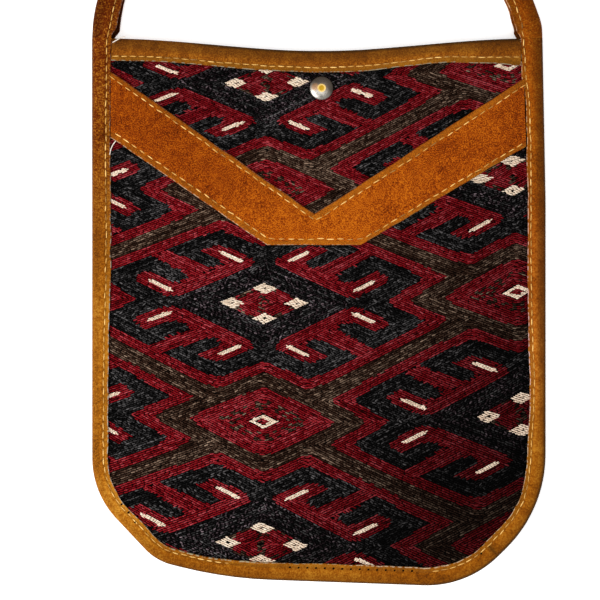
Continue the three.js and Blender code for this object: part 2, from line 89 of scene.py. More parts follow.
STRIP_GAP = 0.3
BINDING_END_X = SEAM_X - STRIP_GAP
MOUTH_RINGS = 120

# Heights of the layers, those of the front counted from its lifted surface
BACK_PANEL = (1.3, 2.5)
BACK_LINING = (2.8, 3.2)
BACK_MOUTH_HIGH = 4.5
FRONT_LINING = (3.5, 3.9)
CLOTH = (4.3, 6.2)
YARN_MIDDLE = 6.42
INNER_LEAF_LOW = 2.2
FACE_LOW = 7.1
FACE_HIGH = 8.1
BINDING_SUEDE = 1.0

# Panels
PANEL_RIM = 2.6  # the panels are cut smaller than the bag by this much
LIFTED_GRID = (96, 90)  # columns and rows of a sheet that follows the front
FLAT_GRID = (60, 60)

# Fullness of the front
POCKET_BULGE = 8
POCKET_MIDDLE_Y = 20
MOUTH_LOBE = 9
SEAM_LIFT = 2.6
SNAP_LIFT = 4.6
MOUTH_BLEND = (40, 105)
SNAP_PAD = 10
SNAP_PINCH_REACH = 28

# Press snap, with profiles of radius and height
SNAP_X = 1.4
SNAP_Y = TOP - 27.7
CAP_RADIUS = 6.55
CAP_HEIGHT = 2.6
CAP_BASE = FACE_LOW + SNAP_LIFT - 0.35
CAP_RIM = 0.5
CAP_LIP = ((0.9, 0), (0.2, 0.12))  # its underside turns up: insets from the radius, and rises there
CAP_ROWS = 16
POST_RADIUS = 1.6
POST_END = 7.2
SOCKET_PROFILE = (
    (2.35, 4.6), (4.6, 4.6), (5, 5.0), (5, 7.5), (4.7, 7.8), (1.9, 7.8), (1.9, 6.9), (2.35, 6.9), (2.35, 4.6),
)
STUD_PROFILE = (
    (0, 4.1), (1.3, 4.1), (1.3, 3.5), (4.8, 3.5), (5, 3.7), (5, 4.1), (4.8, 4.3), (1.9, 4.3), (1.7, 4.5),
    (1.7, 5.0), (2.05, 5.6), (1.95, 6.1), (1.5, 6.45), (0.8, 6.58), (0, 6.6),
)
RIVET_PROFILE = (
    (0, 0.3), (3.9, 0.3), (4.4, 0.5), (4.5, 0.8), (4.3, 1.0), (1, 1.0), (1, 3.8), (0, 3.8),
)
TURN_STEPS = 64

# Folded strips. Painted shade darkens a fold where it rolls over, and the face from the fold to the stitches.
EDGE_ROLL = 3.0
EDGE_FOLD_SHADE = 0.55
EDGE_FOLD_SHADE_LEAST = 0.5
AWAY_FROM_LIGHT = (-0.45, 0.35)  # the fold is darker where the bag lies this way from it
EDGE_ROUNDED = 0.36
EDGE_ROUNDED_RIGHT = 0.21  # more shade on the right side, growing between the next two heights
RIGHT_SHADE_FADE = (-80, 0)
LEFT_SHADE_FADE = (60, 100)  # heights between which the shade fades away on the left side
MOUTH_ROLL = 4.0
MOUTH_FOLD_SHADE = (0.2, 0.9)  # at its left end, and to the right of the next two places
MOUTH_FOLD_SHADE_FADE = (-105, -50)
MOUTH_ROUNDED = 0.46
FOLD_ROWS = 13
UNDER_ROWS = (0, 0.35, 0.7)  # shares of the way along the underside
INNER_UPPER_ROWS = (0.4, 1)  # and along the two faces inside the fold
INNER_LOWER_ROWS = (0, 0.6, 0.96)
INNER_FOLD_ROWS = 7
INNER_FOLD_TURN = 70  # degrees up and down from the middle of the fold
INNER_FOLD_CLOSED = 0.3  # share of the suede's thickness by which the inner fold is tighter
FACE_ROWS = ((0.3, 0.85), (0.65, 0.5))  # share of the way from the fold to the groove, and of the shade there
GROOVE_ROWS = ((-1, 0, 0), (-0.35, 1, 0.3), (0.35, 1, 0.7), (1, 0.1, 1))  # place across it, depth and rim
GROOVE_DEPTH = 0.25  # how far the stitches pull the suede down
GROOVE_REACH = 0.9
GROOVE_SHADE = 0.35

# Cut edges
CUT_SLANT = 0.42  # width of a cut edge that shows from above
CUT_PLACES = (  # x along the bottom, and how wide the edge strip's cut shows there
    (-92, 0.3), (-84, 0.75), (-32, 0.75), (-22, 0.3), (14, 0.3), (24, 0.65), (74, 0.65), (88, 0.3),
)
CUT_PLACES_TOP = LOW + 60
CUT_DROP = 0.08  # the face sinks this much towards its cut edge
CUT_ROUND = 0.03
CUT_KNEE = 0.6  # share of the thickness at which the slanted cut turns upright
UNDERCUT = 0.05

# How far hand-cut edges stray, and over what length
EDGE_FRONT_STRAY = (0.16, 9)
EDGE_FRAY = (0.1, 3)
EDGE_BACK_STRAY = (0.25, 9)
MOUTH_STRAY = (0.18, 11)
BAND_STRAY = (0.15, 7)
STRAP_BACK_STRAY = (0.2, 8)
STRAP_FRONT_STRAY = (0.15, 8)

# V band on the front
BAND_UPPER = ((-BINDING_END_X, TOP - 18.4), (-2.4, TOP - 97), (BINDING_END_X - 1.9, TOP - 22.3))
BAND_LOWER = (
    (-BINDING_END_X, TOP - 54.8), (-28.6, TOP - 113.9), (23.1, TOP - 113.9),
    (BINDING_END_X - 0.6, TOP - 59.6),
)
BAND_RINGS = (60, 20)  # along each arm, and along the foot between them
BAND_FACE_ROWS = (0.3, 0.4, 0.5, 0.6, 0.7)
BAND_UNDER_ROWS = (0.3, 0.6)
BAND_UPPER_SEWN = (2.5, 3.5)  # from the upper edge to its stitches, on the left and on the right arm
BAND_LOWER_SEWN = (3.4, 3.2, 2.3)  # the same for the lower edge, with its foot between the arms
BAND_SEWN_TURNS = (0.95, 1.05, 1.95, 2.05)  # where these change, counted in arms and foot from the left
BAND_UPPER_CUT = 0.35  # how pale its upper edge is, next to the lower one

# Strap: the route of the middle of the folded strip, as places across, rises over the top of the bag and
# heights. Those of the legs are counted in from the corner that the leg starts at.
STRAP_WIDTH = 14.7
STRAP_FRONT_LEAF = 13.7  # the front leaf is narrower, so the back one shows beside it
STRAP_THICKNESS = 4
STRAP_SUEDE = 1.75
STRAP_ROLL = 1.8
# painted shade on the strap's fold and on its face beside the fold
STRAP_FOLD_SHADE = 0.5
STRAP_ROUNDED = 0.45
STRAP_STITCH_IN = 3.7
STRAP_SEWN_OVER = 8  # its seam comes in from that of the edge strip over this length
STRAP_SETTLES_OVER = 24  # and it comes down from the corner's height over this one
STRAP_WIDENS_OVER = (7, 4)  # from the edge strip's leaf to its own, on the left and on the right
STRAP_BACK_SOONER = 0.7  # the back leaf needs only this share of that length
STRAP_BACK_SHOWS = 1.2  # and shows this far past the front one at the corners
STRAP_RIGHT_WIDER = 0.7  # the right leg is wider by this much near its end
STRAP_RIGHT_FADE = (10, 20)
LEFT_LEG = (
    (7.4, 0.3, 5.4), (8.1, 10, 4.9), (10.4, 21, 4.1), (16, 35, 3.2), (25, 48, 2.7), (45, 61, 2.5),
)
LOOP = (
    (-54, 73.5, 2.5), (-30, 91, 2.5), (0, 120, 2.5), (30, 150, 2.5), (60.8, 181, 2.5), (79.5, 209, 2.5),
    (86, 242, 2.5), (79.5, 275, 2.5), (60.8, 303, 2.5), (32.9, 321.5, 2.5), (0, 328, 2.5),
    (-32.9, 321.5, 2.5), (-60.8, 303, 2.5), (-79.5, 275, 2.5), (-86, 242, 2.5), (-79.5, 209, 2.5),
    (-60.8, 181, 2.6), (-40, 160, 3.8), (-20, 140, 6.2), (0, 120, 7.3), (20, 100.5, 6.2),
    (38, 84, 3.8), (54, 73.5, 2.8),
)
RIGHT_LEG = (
    (45, 61, 2.5), (28, 48, 2.7), (19.5, 35, 3.2), (12.9, 21, 4.1), (9.9, 13, 4.7), (7.7, 6, 5.1),
    (7.4, 0.3, 5.4),
)
STRAP_ROUTE = (
    [(inside - HALF_WIDTH, TOP + rise, height) for inside, rise, height in LEFT_LEG]
    + [(x, TOP + rise, height) for x, rise, height in LOOP]
    + [(HALF_WIDTH - RIGHT_LEAN - inside, TOP + rise, height) for inside, rise, height in RIGHT_LEG]
)
ROUTE_STEPS = 8  # points of the curve from one place of the route to the next

# Thread stitches
STITCH_PITCH = 4.8
BAND_PITCH = 5.35
STITCH_SIZE = (4.0, 0.66, 0.6)
STITCH_SUNK = 0.2
UNDER_STITCH = 0.25  # stitches on an underside lie this far above it
STITCH_STRAY = 0.12
STITCH_TURN = 0.05
STITCH_SHADE = (0.55, 0.22)  # middle and spread
STITCH_UNEVEN = 0.07  # spread of the lengths and widths of stitches
STITCH_ARCH = 0.35  # a stitch is bowed up by this share of its thickness
BAKE_SPAN = 4 * TOP  # side of the square that the baked picture of stitches is laid over
EDGE_SEWN = (  # lengths along the strip, and how far in from its cut edge it is sewn there
    (0, 2.4), (60, 2.6), (220, 2.7), (250, 2.2), (560, 2.2), (600, 2.35), (650, 2.0), (680, 1.75), (780, 1.9),
)
CREASE = (95.9, -130.1)  # where the strip is creased on its way round the corner, darkened there by painted shade
CREASE_WIDTH = 2.4
CREASE_SHADE = 0.62
CREASE_FROM = 0.6  # it starts this far in from the edge
# needle holes, each drawn as a dark grain of painted shadow
STITCH_HOLES = ((-108.6, -105.7), (-104.7, -110.2), (-101.1, -115.6), (89.3, -132.8))
HOLE_SIZE = (1.4, 1.1, 0.4)
HOLE_SHADE = 0.4
HOLE_HEADING = 0.8
SUNK_FROM = (-56, -44)  # along the bottom the thread sinks into the suede, from here
SUNK_TO = (58, 64)  # to here
SUNK_DEEP = 0.7
SUNK_HOLES = (-16, 56)  # where its holes have stayed open
SUNK_HOLE_DEEP = (0.12, 0.26)

# Thread ends left by the sewing: one lies on the top left corner, one comes out from under the left strip
CORNER_THREAD = ((-113.4, 148.1), (-111.2, 149.3), (-108.8, 150.6), (-106.4, 151.2))
SIDE_THREAD = ((-115.0, 86.5), (-114.4, 89.3), (-113.2, 91.9), (-111.6, 94.1))
THREAD_RADIUS = 0.3
THREAD_SIDES = 6
THREAD_STEPS = 6
THREAD_SHADE = 0.6

# Brocade: medallions on a lattice whose rows sag in the middle and grow a little towards the bottom
MOTIF_COLUMN = 139.7
MOTIF_ROW = 58.1
MOTIF_ROW_GROWTH = 1.44
MOTIF_ROW_BOW = 5.75
MOTIF_X = -30.9
MOTIF_TOP = TOP - 18.0
MOTIF_FLARE = 0.00035  # the columns widen towards the bottom
MOTIF_FLARE_Y = TOP - 160.4
MOTIF_FAN = 0.00027  # the rows fan out towards the right
MOTIF_FAN_Y = TOP - 198.9
MOTIF_SWAY = 1.1  # the weave is drawn in and let out by this much across the bag
MOTIF_SWAY_X = -43
MOTIF_SWAY_LENGTH = 160

# One medallion and its lozenges in lattice units, as distances from its middle along the two diagonals
FIGURE_ROUND = 0.05  # corners of the figure are rounded by about this much
PEAK_REACH = 0.07  # stitches lie flatter this near to an upper or lower corner of a border
MIDDLE_REACH = 0.18
MIDDLE_LINE = 0.042  # half the width of a line across the middle
MIDDLE_RIM = 0.8  # the middle's rim starts at this share of its reach
MIDDLE_FLECKED = 0.5  # share of brown stitches in the line and the rim
BODY_FLECKED = 0.45  # share of mauve stitches in the body round the middle
DOT_PLACE = 0.13
DOT_REACH = 0.048
DOT_HEART = 0.009
BAR_INNER = 0.378
BAR_OUTER = 0.492
ARM_WIDE = 0.345
HOOK_INSIDE = 0.205
HOOK_END = 0.718
STEM_THIN = 0.05
STEM_THICK = 0.07
DASH_PLACE = 0.27
DASH_REACH = 0.018
DASH_ENDS = (0.448, 0.637)
DASH_TAPER = 0.03
BORDER_INNER = (0.839, 0.479)  # reach of the medallion's border, and of its notched corners
BORDER_OUTER = (0.93, 0.57)
LOZENGE = 0.697
RING = (0.029, 0.061)  # the ivory ring, from the middle of the lozenge
FLECKS = (0.12, 0.2)  # brown flecks round it, on the troughs of two waves to each side
FLECK_TROUGH = 0.1
FLECKED = 0.62  # share of brown stitches there
WAVE_HEART = 0.02  # the waves get no shorter nearer to the middle than this

# Yarn
YARN_LINE = 0.0185  # from one chain of stitches to the next, in lattice units
YARN_STEP = 0.03  # from one stitch to the next in its chain
YARN_STRAY = (0.04, 0.08)  # spread across and along the chain, as shares of these
YARN_SIZE = (3.2, 0.95, 0.7)
YARN_TURN = 0.06
YARN_RISE = 0.05
LOOSE_YARN = {  # share of a stitch's length, and how far it turns
    "black": (0.85, 0.18),
    "mauve": (0.65, 0.45),
}
CHAIN_SHADE = 0.07  # spread of the shades of chains
YARN_SHADE = (0.38, 0.08)  # middle and spread of the shades of stitches
YARN_SHINE = 0.4  # a few stitches are lighter, by up to this much, as painted highlights
YARN_SHINE_RARE = 6
IVORY_SHARE = 0.62  # the ivory yarn is finer than the rest by this much
IVORY_SIZE = (YARN_SIZE[0] * IVORY_SHARE, 1.25 * YARN_SIZE[1] * IVORY_SHARE, 0.7 * YARN_SIZE[2])
IVORY_RAISED = 0.25
HIDDEN_YARN = 2.0  # the yarn goes on this far under the suede
CAPPED_YARN = 1.0  # and this far under the cap

# Camera: the photograph's frame on the face of the bag
FACE_Z = 10
FRAME_WIDTH = 329.7
FRAME_CENTRE = (-10.4, 6.7)
LENS = 200
SENSOR = 36

# Floor and light, in metres and watts
FLOOR_REACH = 4
FLOOR_Z = -0.0005
SKY_STRENGTH = 0.62
LAMPS = (  # name, place, size and power
    ("key", (-1.28, -0.85, 1.3), 1.0, 40),
    ("top", (0.2, 0.1, 2.6), 1.6, 26),
)
DYE_DEPTH = 0.7  # dyed stuffs return this share of the light that white ones do


# Shapes and places

def blend(low, high, share):
    return low + (high - low) * share


def smoothstep(value, low, high):
    share = np.clip((value - low) / (high - low), 0, 1)
    return share * share * (3 - 2 * share)


def inward(heading):
    return np.array((-math.sin(heading), math.cos(heading)))


def rounded_chain(corners):
    """Points of a chain of straight edges with rounded corners, and the normal at each one."""
    points = []
    normals = []
    for index, (x, y, radius) in enumerate(corners):
        before = corners[max(index - 1, 0)]
        after = corners[min(index + 1, len(corners) - 1)]
        into = np.array((x - before[0], y - before[1])) if index else np.array((after[0] - x, after[1] - y))
        out = np.array((after[0] - x, after[1] - y)) if after != corners[index] else into
        start = math.atan2(into[1], into[0])
        turn = math.atan2(into[0] * out[1] - into[1] * out[0], into @ out)
        reach = radius * math.tan(turn / 2)
        arc_start = np.array((x, y)) - into / np.linalg.norm(into) * reach
        centre = arc_start + inward(start) * radius
        steps = math.ceil(turn / ARC_STEP)
        for step in range(steps + 1):
            normal = inward(start + (turn * step / steps if steps else 0))
            points.append(centre - normal * radius)
            normals.append(normal)
    points = np.array(points)
    points[1:-1, 1] += LOW - points[:, 1].min()
    return points, np.array(normals)


def read_off(places, at, column=1):
    """Values that are written down for a few places, read off between them."""
    table = np.transpose(places)
    return np.interp(at, table[0], table[column])


def lengths_along(points):
    """Length of a polyline from its start to each of its points."""
    return np.r_[0, np.cumsum(np.linalg.norm(np.diff(points, axis=0), axis=1))]


def evenly(points, step, *others):
    """A polyline resampled at even steps, together with what goes along with its points."""
    lengths = lengths_along(points)
    count = max(2, round(lengths[-1] / step) + 1)
    along = np.linspace(0, lengths[-1], count)
    resampled = [np.stack([np.interp(along, lengths, column) for column in values.T], axis=1)
                 for values in (points, *others)]
    return along, *resampled


CHAIN, CHAIN_NORMALS = rounded_chain(CORNERS)
CHAIN_ALONG = lengths_along(CHAIN)


def mouth_y(x):
    return TOP - MOUTH_SAG * (0.5 + 0.5 * np.cos(math.pi * x / HALF_WIDTH))


def mouth_leaf(x):
    """Width of the hand-cut mouth leaf at places along the mouth."""
    return read_off(MOUTH_PLACES, x)


def leaf_width(along):
    """Width of the hand-cut edge leaf at lengths along its strip."""
    return read_off(LEAF_PLACES, along)


def lower_edge(x, inset):
    """Height of the bag's lower edge at x, drawn in by an inset of one width or one per chain point."""
    drawn = CHAIN + CHAIN_NORMALS * np.reshape(inset, (-1, 1))
    rising = np.r_[True, np.diff(drawn[:, 0]) > 1e-3]
    return np.interp(x, drawn[rising, 0], drawn[rising, 1])


def dome(share):
    return np.maximum(0, 1 - share ** 4)


def mouth_lift(x):
    """How far the front is lifted along the mouth, which gapes on both sides of the closed snap."""
    across = dome(np.abs(x) / SEAM_X)
    from_snap = np.maximum(0, np.abs(x - SNAP_X) - SNAP_PAD)
    pinch = np.exp(-((from_snap / SNAP_PINCH_REACH) ** 2))
    return SEAM_LIFT + (MOUTH_LOBE - SEAM_LIFT) * across - (MOUTH_LOBE - SNAP_LIFT) * pinch


def front_lift(x, y):
    """How far the front is lifted by the fullness of the pocket and the open mouth."""
    floor_y = lower_edge(x, 0) + BOTTOM_LEAF
    depth = np.clip((POCKET_MIDDLE_Y - y) / (POCKET_MIDDLE_Y - floor_y), 0, 1)
    pocket = POCKET_BULGE * dome(np.abs(x) / SEAM_X) * dome(depth)
    return blend(pocket, mouth_lift(x), smoothstep(y, *MOUTH_BLEND))


def wander(along, reach, size):
    """A smooth hand-made unevenness along a line."""
    knots = np.arange(along[0], along[-1] + 2 * size, size)
    return reach * np.interp(along, knots, chance.normal(0, 1, len(knots)))


def between(one, two, start, end, time):
    """What is passed at a time, going straight from one value at the start to another at the end."""
    return (one * (end - time) + two * (time - start)) / (end - start)


def catmull_rom(points, per_span):
    """A smooth curve through the points, centripetal, so that uneven spacing makes no loops."""
    points = np.array(points, float)
    ends = np.array([2 * points[0] - points[1], 2 * points[-1] - points[-2]])
    full = np.vstack([ends[:1], points, ends[1:]])
    curve = []
    for index in range(len(points) - 1):
        four = full[index:index + 4]
        knots = np.r_[0, np.cumsum(np.sqrt(np.linalg.norm(np.diff(four, axis=0), axis=1)))]
        time = np.linspace(knots[1], knots[2], per_span, endpoint=False)[:, None]
        first = [between(four[k], four[k + 1], knots[k], knots[k + 1], time) for k in range(3)]
        second = [between(first[k], first[k + 1], knots[k], knots[k + 2], time) for k in range(2)]
        curve.append(between(*second, knots[1], knots[2], time))
    return np.vstack([*curve, points[-1:]])


def sideways(points):
    """Unit vectors to the left of a path seen from above."""
    heading = np.gradient(points[:, :2], axis=0)
    heading /= np.linalg.norm(heading, axis=1)[:, None]
    return np.stack([-heading[:, 1], heading[:, 0]], axis=1)


def offset_line(corners, distances):
    """A polyline whose parts are each moved to the left by a distance, with its corners kept sharp."""
    corners = np.array(corners, float)
    ways = np.diff(corners, axis=0)
    ways /= np.linalg.norm(ways, axis=1)[:, None]
    left = np.column_stack([-ways[:, 1], ways[:, 0]])
    moved = [corners[0] + left[0] * distances[0]]
    for at, corner in enumerate(corners[1:-1]):
        moved.append(corner + np.linalg.solve(left[at:at + 2], distances[at:at + 2]))
    moved.append(corners[-1] + left[-1] * distances[-1])
    return np.array(moved)


# Meshes

def keep(name, bm, finish):
    """A bmesh in metres becomes a piece of the bag."""
    mesh = bpy.data.meshes.new(name)
    bm.to_mesh(mesh)
    bm.free()
    return hang(name, mesh, finish)


def smooth_but(bm, flat_faces):
    """Smooth shading everywhere but on some flat faces and their rims."""
    for face in bm.faces:
        face.smooth = True
    for face in flat_faces:
        face.smooth = False
        for edge in face.edges:
            edge.smooth = False


def link(name, data):
    """Something made by hand becomes an object of the scene."""
    made = bpy.data.objects.new(name, data)
    bpy.context.scene.collection.objects.link(made)
    return made


def hang(name, mesh, finish):
    """A mesh becomes a piece of the bag, with its finish."""
    piece = link(name, mesh)
    mesh.materials.append(finish)
    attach(piece, "root")
    return piece


def stand_for(piece, node):
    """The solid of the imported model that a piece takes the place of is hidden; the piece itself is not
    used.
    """
    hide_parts(node)


def rolled(name, rings, finish, **marks):
    """A closed skin through rings of points: a grid laid on them, its long edges joined and its ends
    filled. Marks are values of the same rings that the finish reads as attributes."""
    count, around = rings.shape[:2]
    bm = bmesh.new()
    layers = {mark: bm.verts.layers.float.new(mark) for mark in marks}
    bmesh.ops.create_grid(bm, x_segments=count - 1, y_segments=around, size=0.5)
    for vert in bm.verts:
        ring = round((vert.co.x + 0.5) * (count - 1))
        place = round((vert.co.y + 0.5) * around) % around
        vert.co = rings[ring, place] * MM
        for mark, layer in layers.items():
            vert[layer] = marks[mark][ring, place]
    bmesh.ops.remove_doubles(bm, verts=bm.verts, dist=1e-7)
    ends = bmesh.ops.holes_fill(bm, edges=[edge for edge in bm.edges if edge.is_boundary])["faces"]
    bmesh.ops.recalc_face_normals(bm, faces=bm.faces)
    smooth_but(bm, ends)
    return keep(name, bm, finish)


def turned(name, profile, centre, finish):
    """A profile of (radius, height) spun about an upright axis."""
    bm = bmesh.new()
    verts = [bm.verts.new((radius * MM, 0, height * MM)) for radius, height in profile]
    edges = [bm.edges.new(pair) for pair in zip(verts[:-1], verts[1:])]
    bmesh.ops.spin(bm, geom=verts + edges, cent=(0, 0, 0), axis=(0, 0, 1), angle=math.tau,
                   steps=TURN_STEPS, use_merge=True)
    bmesh.ops.remove_doubles(bm, verts=bm.verts, dist=1e-6)
    bmesh.ops.recalc_face_normals(bm, faces=bm.faces)
    bmesh.ops.translate(bm, verts=bm.verts, vec=Vector((*centre, 0)) * MM)
    smooth_but(bm, ())
    return keep(name, bm, finish)


def grain(sides, rings):
    """The corners and triangles of one rounded stitch, one unit long and lying along x."""
    bm = bmesh.new()
    bmesh.ops.create_uvsphere(bm, u_segments=sides, v_segments=rings, radius=0.5)
    bmesh.ops.rotate(bm, verts=bm.verts, matrix=Matrix.Rotation(math.pi / 2, 3, "Y"))
    bmesh.ops.triangulate(bm, faces=bm.faces)
    bm.verts.index_update()
    corners = np.array([vert.co[:] for vert in bm.verts])
    faces = np.array([[vert.index for vert in face.verts] for face in bm.faces])
    bm.free()
    return corners, faces


YARN_GRAIN = grain(4, 3)
THREAD_GRAIN = grain(6, 5)


def sown(name, shape, places, size, finish, shade):
    """One stitch shape repeated over places: x, y, z, heading, slope along and slope across."""
    corners, faces = shape
    x, y, z, heading, rise, tilt = (np.reshape(values, (-1, 1)) for values in places)
    stretch = chance.normal(1, STITCH_UNEVEN, (len(x), 2))
    along = corners[:, 0] * size[0] * stretch[:, :1]
    across = corners[:, 1] * size[1] * stretch[:, 1:]
    arch = 0.5 - 2 * corners[:, 0] ** 2
    up = (corners[:, 2] + STITCH_ARCH * arch) * size[2] + rise * along + tilt * across
    points = np.stack([
        x + along * np.cos(heading) - across * np.sin(heading),
        y + along * np.sin(heading) + across * np.cos(heading),
        z + up,
    ], axis=-1).reshape(-1, 3)
    corner_ids = (faces.ravel() + len(corners) * np.arange(len(x))[:, None]).ravel()
    mesh = bpy.data.meshes.new(name)
    mesh.vertices.add(len(points))
    mesh.vertices.foreach_set("co", (points * MM).astype(np.float32).ravel())
    mesh.loops.add(len(corner_ids))
    mesh.loops.foreach_set("vertex_index", corner_ids.astype(np.int32))
    mesh.polygons.add(len(corner_ids) // 3)
    mesh.polygons.foreach_set("loop_start", np.arange(0, len(corner_ids), 3, dtype=np.int32))
    mesh.update(calc_edges=True)
    mesh.shade_smooth()
    mark = mesh.attributes.new("shade", "FLOAT", "POINT")
    mark.data.foreach_set("value", np.repeat(shade, len(corners)).astype(np.float32))
    flat = mesh.uv_layers.new(name="OFBake")
    spread = (points[corner_ids, :2] + (HALF_WIDTH, TOP)) / BAKE_SPAN
    flat.data.foreach_set("uv", np.clip(spread, 0, 1).astype(np.float32).ravel())
    return hang(name, mesh, finish)


def fold_section(leaf_low, leaf_high, low, high, suede, roll, sewn, fold_shade=1.0, rounded=0.0,
                 slant=CUT_SLANT):
    """The closed section of a strip folded over an edge: the inset of its rows from the fold, their height,
    and the marks of its cut edges, painted shade on its roll and the face beside it, the rim outside its
    stitches, and painted shade in the groove that they press and inside the fold. Sizes are one value per
    ring."""
    ones = np.ones_like(high)
    middle = (low + high) / 2
    half = (high - low) / 2
    rows = []

    def add(inset, height, cut=0.0, rolling=0.0, rim=0.0, pressed=0.0, shaded=0.0):
        dark = np.maximum(rolling * fold_shade, shaded * rounded)
        rows.append([value * ones for value in (inset, height, cut, dark, rim, pressed)])

    for share in UNDER_ROWS:
        add(blend(leaf_low - slant, roll, share), low)
    for angle in np.linspace(-90, 90, FOLD_ROWS):
        turn = math.radians(angle)
        add(roll * (1 - math.cos(turn)), middle + half * math.sin(turn), rolling=math.cos(turn),
            shaded=angle > 0)
    groove = leaf_high - sewn
    for share, shaded in FACE_ROWS:
        add(blend(roll, groove - GROOVE_REACH, share), high, shaded=shaded)
    # the groove gets painted shade as deep as the stitches press it
    for away, depth, rim in GROOVE_ROWS:
        add(groove + away * GROOVE_REACH, high - depth * GROOVE_DEPTH, rim=rim,
            pressed=depth * GROOVE_SHADE)
    add(leaf_high - slant, high - CUT_DROP, rim=1)
    add(leaf_high - slant + CUT_ROUND, high - CUT_ROUND, cut=1)
    add(leaf_high, high - CUT_KNEE * suede, cut=1)
    add(leaf_high, high - suede, cut=1)
    # inside the fold the suede gets full painted shade
    for share in INNER_UPPER_ROWS:
        add(blend(leaf_high - UNDERCUT, roll, share), high - suede, pressed=1)
    for angle in np.linspace(INNER_FOLD_TURN, -INNER_FOLD_TURN, INNER_FOLD_ROWS):
        turn = math.radians(angle)
        inner_roll = roll - INNER_FOLD_CLOSED * suede
        add(suede + inner_roll * (1 - math.cos(turn)), middle + (half - suede) * math.sin(turn), pressed=1)
    for share in INNER_LOWER_ROWS:
        add(blend(roll, leaf_low - UNDERCUT, share), low + suede, pressed=1)
    add(leaf_low, low + suede, cut=1)
    add(leaf_low, low + CUT_KNEE * suede, cut=1)
    add(leaf_low - slant + CUT_ROUND, low + CUT_ROUND, cut=1)
    columns = [np.stack(column, axis=1) for column in zip(*rows)]
    return dict(zip(("inset", "height", "cut", "rolling", "rim", "pressed"), columns))


def folded_strip(name, edge, normals, section, finish):
    """A folded section carried along an edge, its insets running along the normals."""
    flat = edge[:, None, :2] + normals[:, None, :] * section["inset"][..., None]
    rings = np.concatenate([flat, section["height"][..., None]], axis=2)
    marks = {mark: section[mark] for mark in ("cut", "rolling", "rim", "pressed")}
    return rolled(name, rings, finish, **marks)


def layer(name, heights, lifted, finish):
    """One sheet of the bag between two heights, drawn in from the outline."""
    columns, rows = LIFTED_GRID if lifted else FLAT_GRID
    x = np.linspace(PANEL_RIM - HALF_WIDTH, HALF_WIDTH - RIGHT_LEAN - PANEL_RIM, columns)
    low_y = lower_edge(x, PANEL_RIM)
    high_y = mouth_y(x) - PANEL_RIM
    share = np.linspace(0, 1, rows)
    y = blend(low_y[:, None], high_y[:, None], share[None, :])
    across = np.broadcast_to(x[:, None], y.shape)
    lift = front_lift(across, y) if lifted else np.zeros_like(y)
    upper = np.stack([across, y, heights[1] + lift], axis=2)
    lower = np.stack([across, y, heights[0] + lift], axis=2)[:, ::-1]
    return rolled(name, np.concatenate([upper, lower], axis=1), finish)


# Finishes

def paint(code):
    """A colour written as on screen, as the light that a shader works with."""
    parts = [int(code[at:at + 2], 16) / 255 for at in (1, 3, 5)]
    return (*[part / 12.92 if part < 0.04045 else ((part + 0.055) / 1.055) ** 2.4 for part in parts], 1)


def dyed(code):
    """A colour of dyed suede or wool, as it looks under this light."""
    return (*[part * DYE_DEPTH for part in paint(code)[:3]], 1)


class Wire:
    """A socket that takes part in sums."""

    def __init__(self, finish, socket):
        self.finish = finish
        self.socket = socket

    def sum(self, operation, one, two):
        return self.finish.node("ShaderNodeMath", {"operation": operation}, {0: one, 1: two})

    def __add__(self, other):
        return self.sum("ADD", self, other)

    def __radd__(self, other):
        return self.sum("ADD", other, self)

    def __sub__(self, other):
        return self.sum("SUBTRACT", self, other)

    def __rsub__(self, other):
        return self.sum("SUBTRACT", other, self)

    def __mul__(self, other):
        return self.sum("MULTIPLY", self, other)

    def __rmul__(self, other):
        return self.sum("MULTIPLY", other, self)

    def step(self, low, high):
        """0 below low, 1 above high and smooth between them."""
        return self.finish.node("ShaderNodeMapRange", {"interpolation_type": "SMOOTHSTEP"},
                                {0: self, 1: low, 2: high, 3: 0.0, 4: 1.0})


class Finish:
    """A material made of nodes, with one glossy skin shader at its end."""

    def __init__(self, name, **fixed):
        self.material = bpy.data.materials.new(name)
        self.material.use_nodes = True
        self.tree = self.material.node_tree
        self.skin = self.tree.nodes["Principled BSDF"]
        for socket, value in fixed.items():
            self.skin.inputs[socket.replace("_", " ")].default_value = value
        self.place = self.node("ShaderNodeTexCoord", {}, {}, "Object")

    def node(self, kind, settings, sockets, out=0):
        made = self.tree.nodes.new(kind)
        for key, value in settings.items():
            if key == "stops":
                self.fill_ramp(made.color_ramp, value)
            else:
                setattr(made, key, value)
        for key, value in sockets.items():
            self.feed(made.inputs[key], value)
        return Wire(self, made.outputs[out])

    def fill_ramp(self, ramp, stops):
        while len(ramp.elements) < len(stops):
            ramp.elements.new(1)
        for element, (place, colour) in zip(ramp.elements, stops):
            element.position = place
            element.color = colour

    def feed(self, socket, value):
        if isinstance(value, Wire):
            self.tree.links.new(value.socket, socket)
        else:
            socket.default_value = value

    def noise(self, scale, detail=2.0, rough=0.5, at=None):
        sockets = {"Vector": at or self.place, "Scale": scale, "Detail": detail, "Roughness": rough}
        return self.node("ShaderNodeTexNoise", {}, sockets)

    def mark(self, name):
        return self.node("ShaderNodeAttribute", {"attribute_name": name}, {}, "Fac")

    def ramp(self, value, *stops):
        return self.node("ShaderNodeValToRGB", {"stops": stops}, {0: value})

    def mix(self, share, one, two, way="MIX"):
        settings = {"data_type": "RGBA", "blend_type": way}
        return self.node("ShaderNodeMix", settings, {0: share, 6: one, 7: two}, 2)

    def axis(self, name):
        return self.node("ShaderNodeSeparateXYZ", {}, {0: self.place}, name)

    def bump(self, height, strength, depth):
        return self.node("ShaderNodeBump", {}, {"Height": height, "Strength": strength, "Distance": depth})

    def wear(self, colour, roughness, normal):
        self.feed(self.skin.inputs["Base Color"], colour)
        self.feed(self.skin.inputs["Roughness"], roughness)
        self.feed(self.skin.inputs["Normal"], normal)
        return self.material


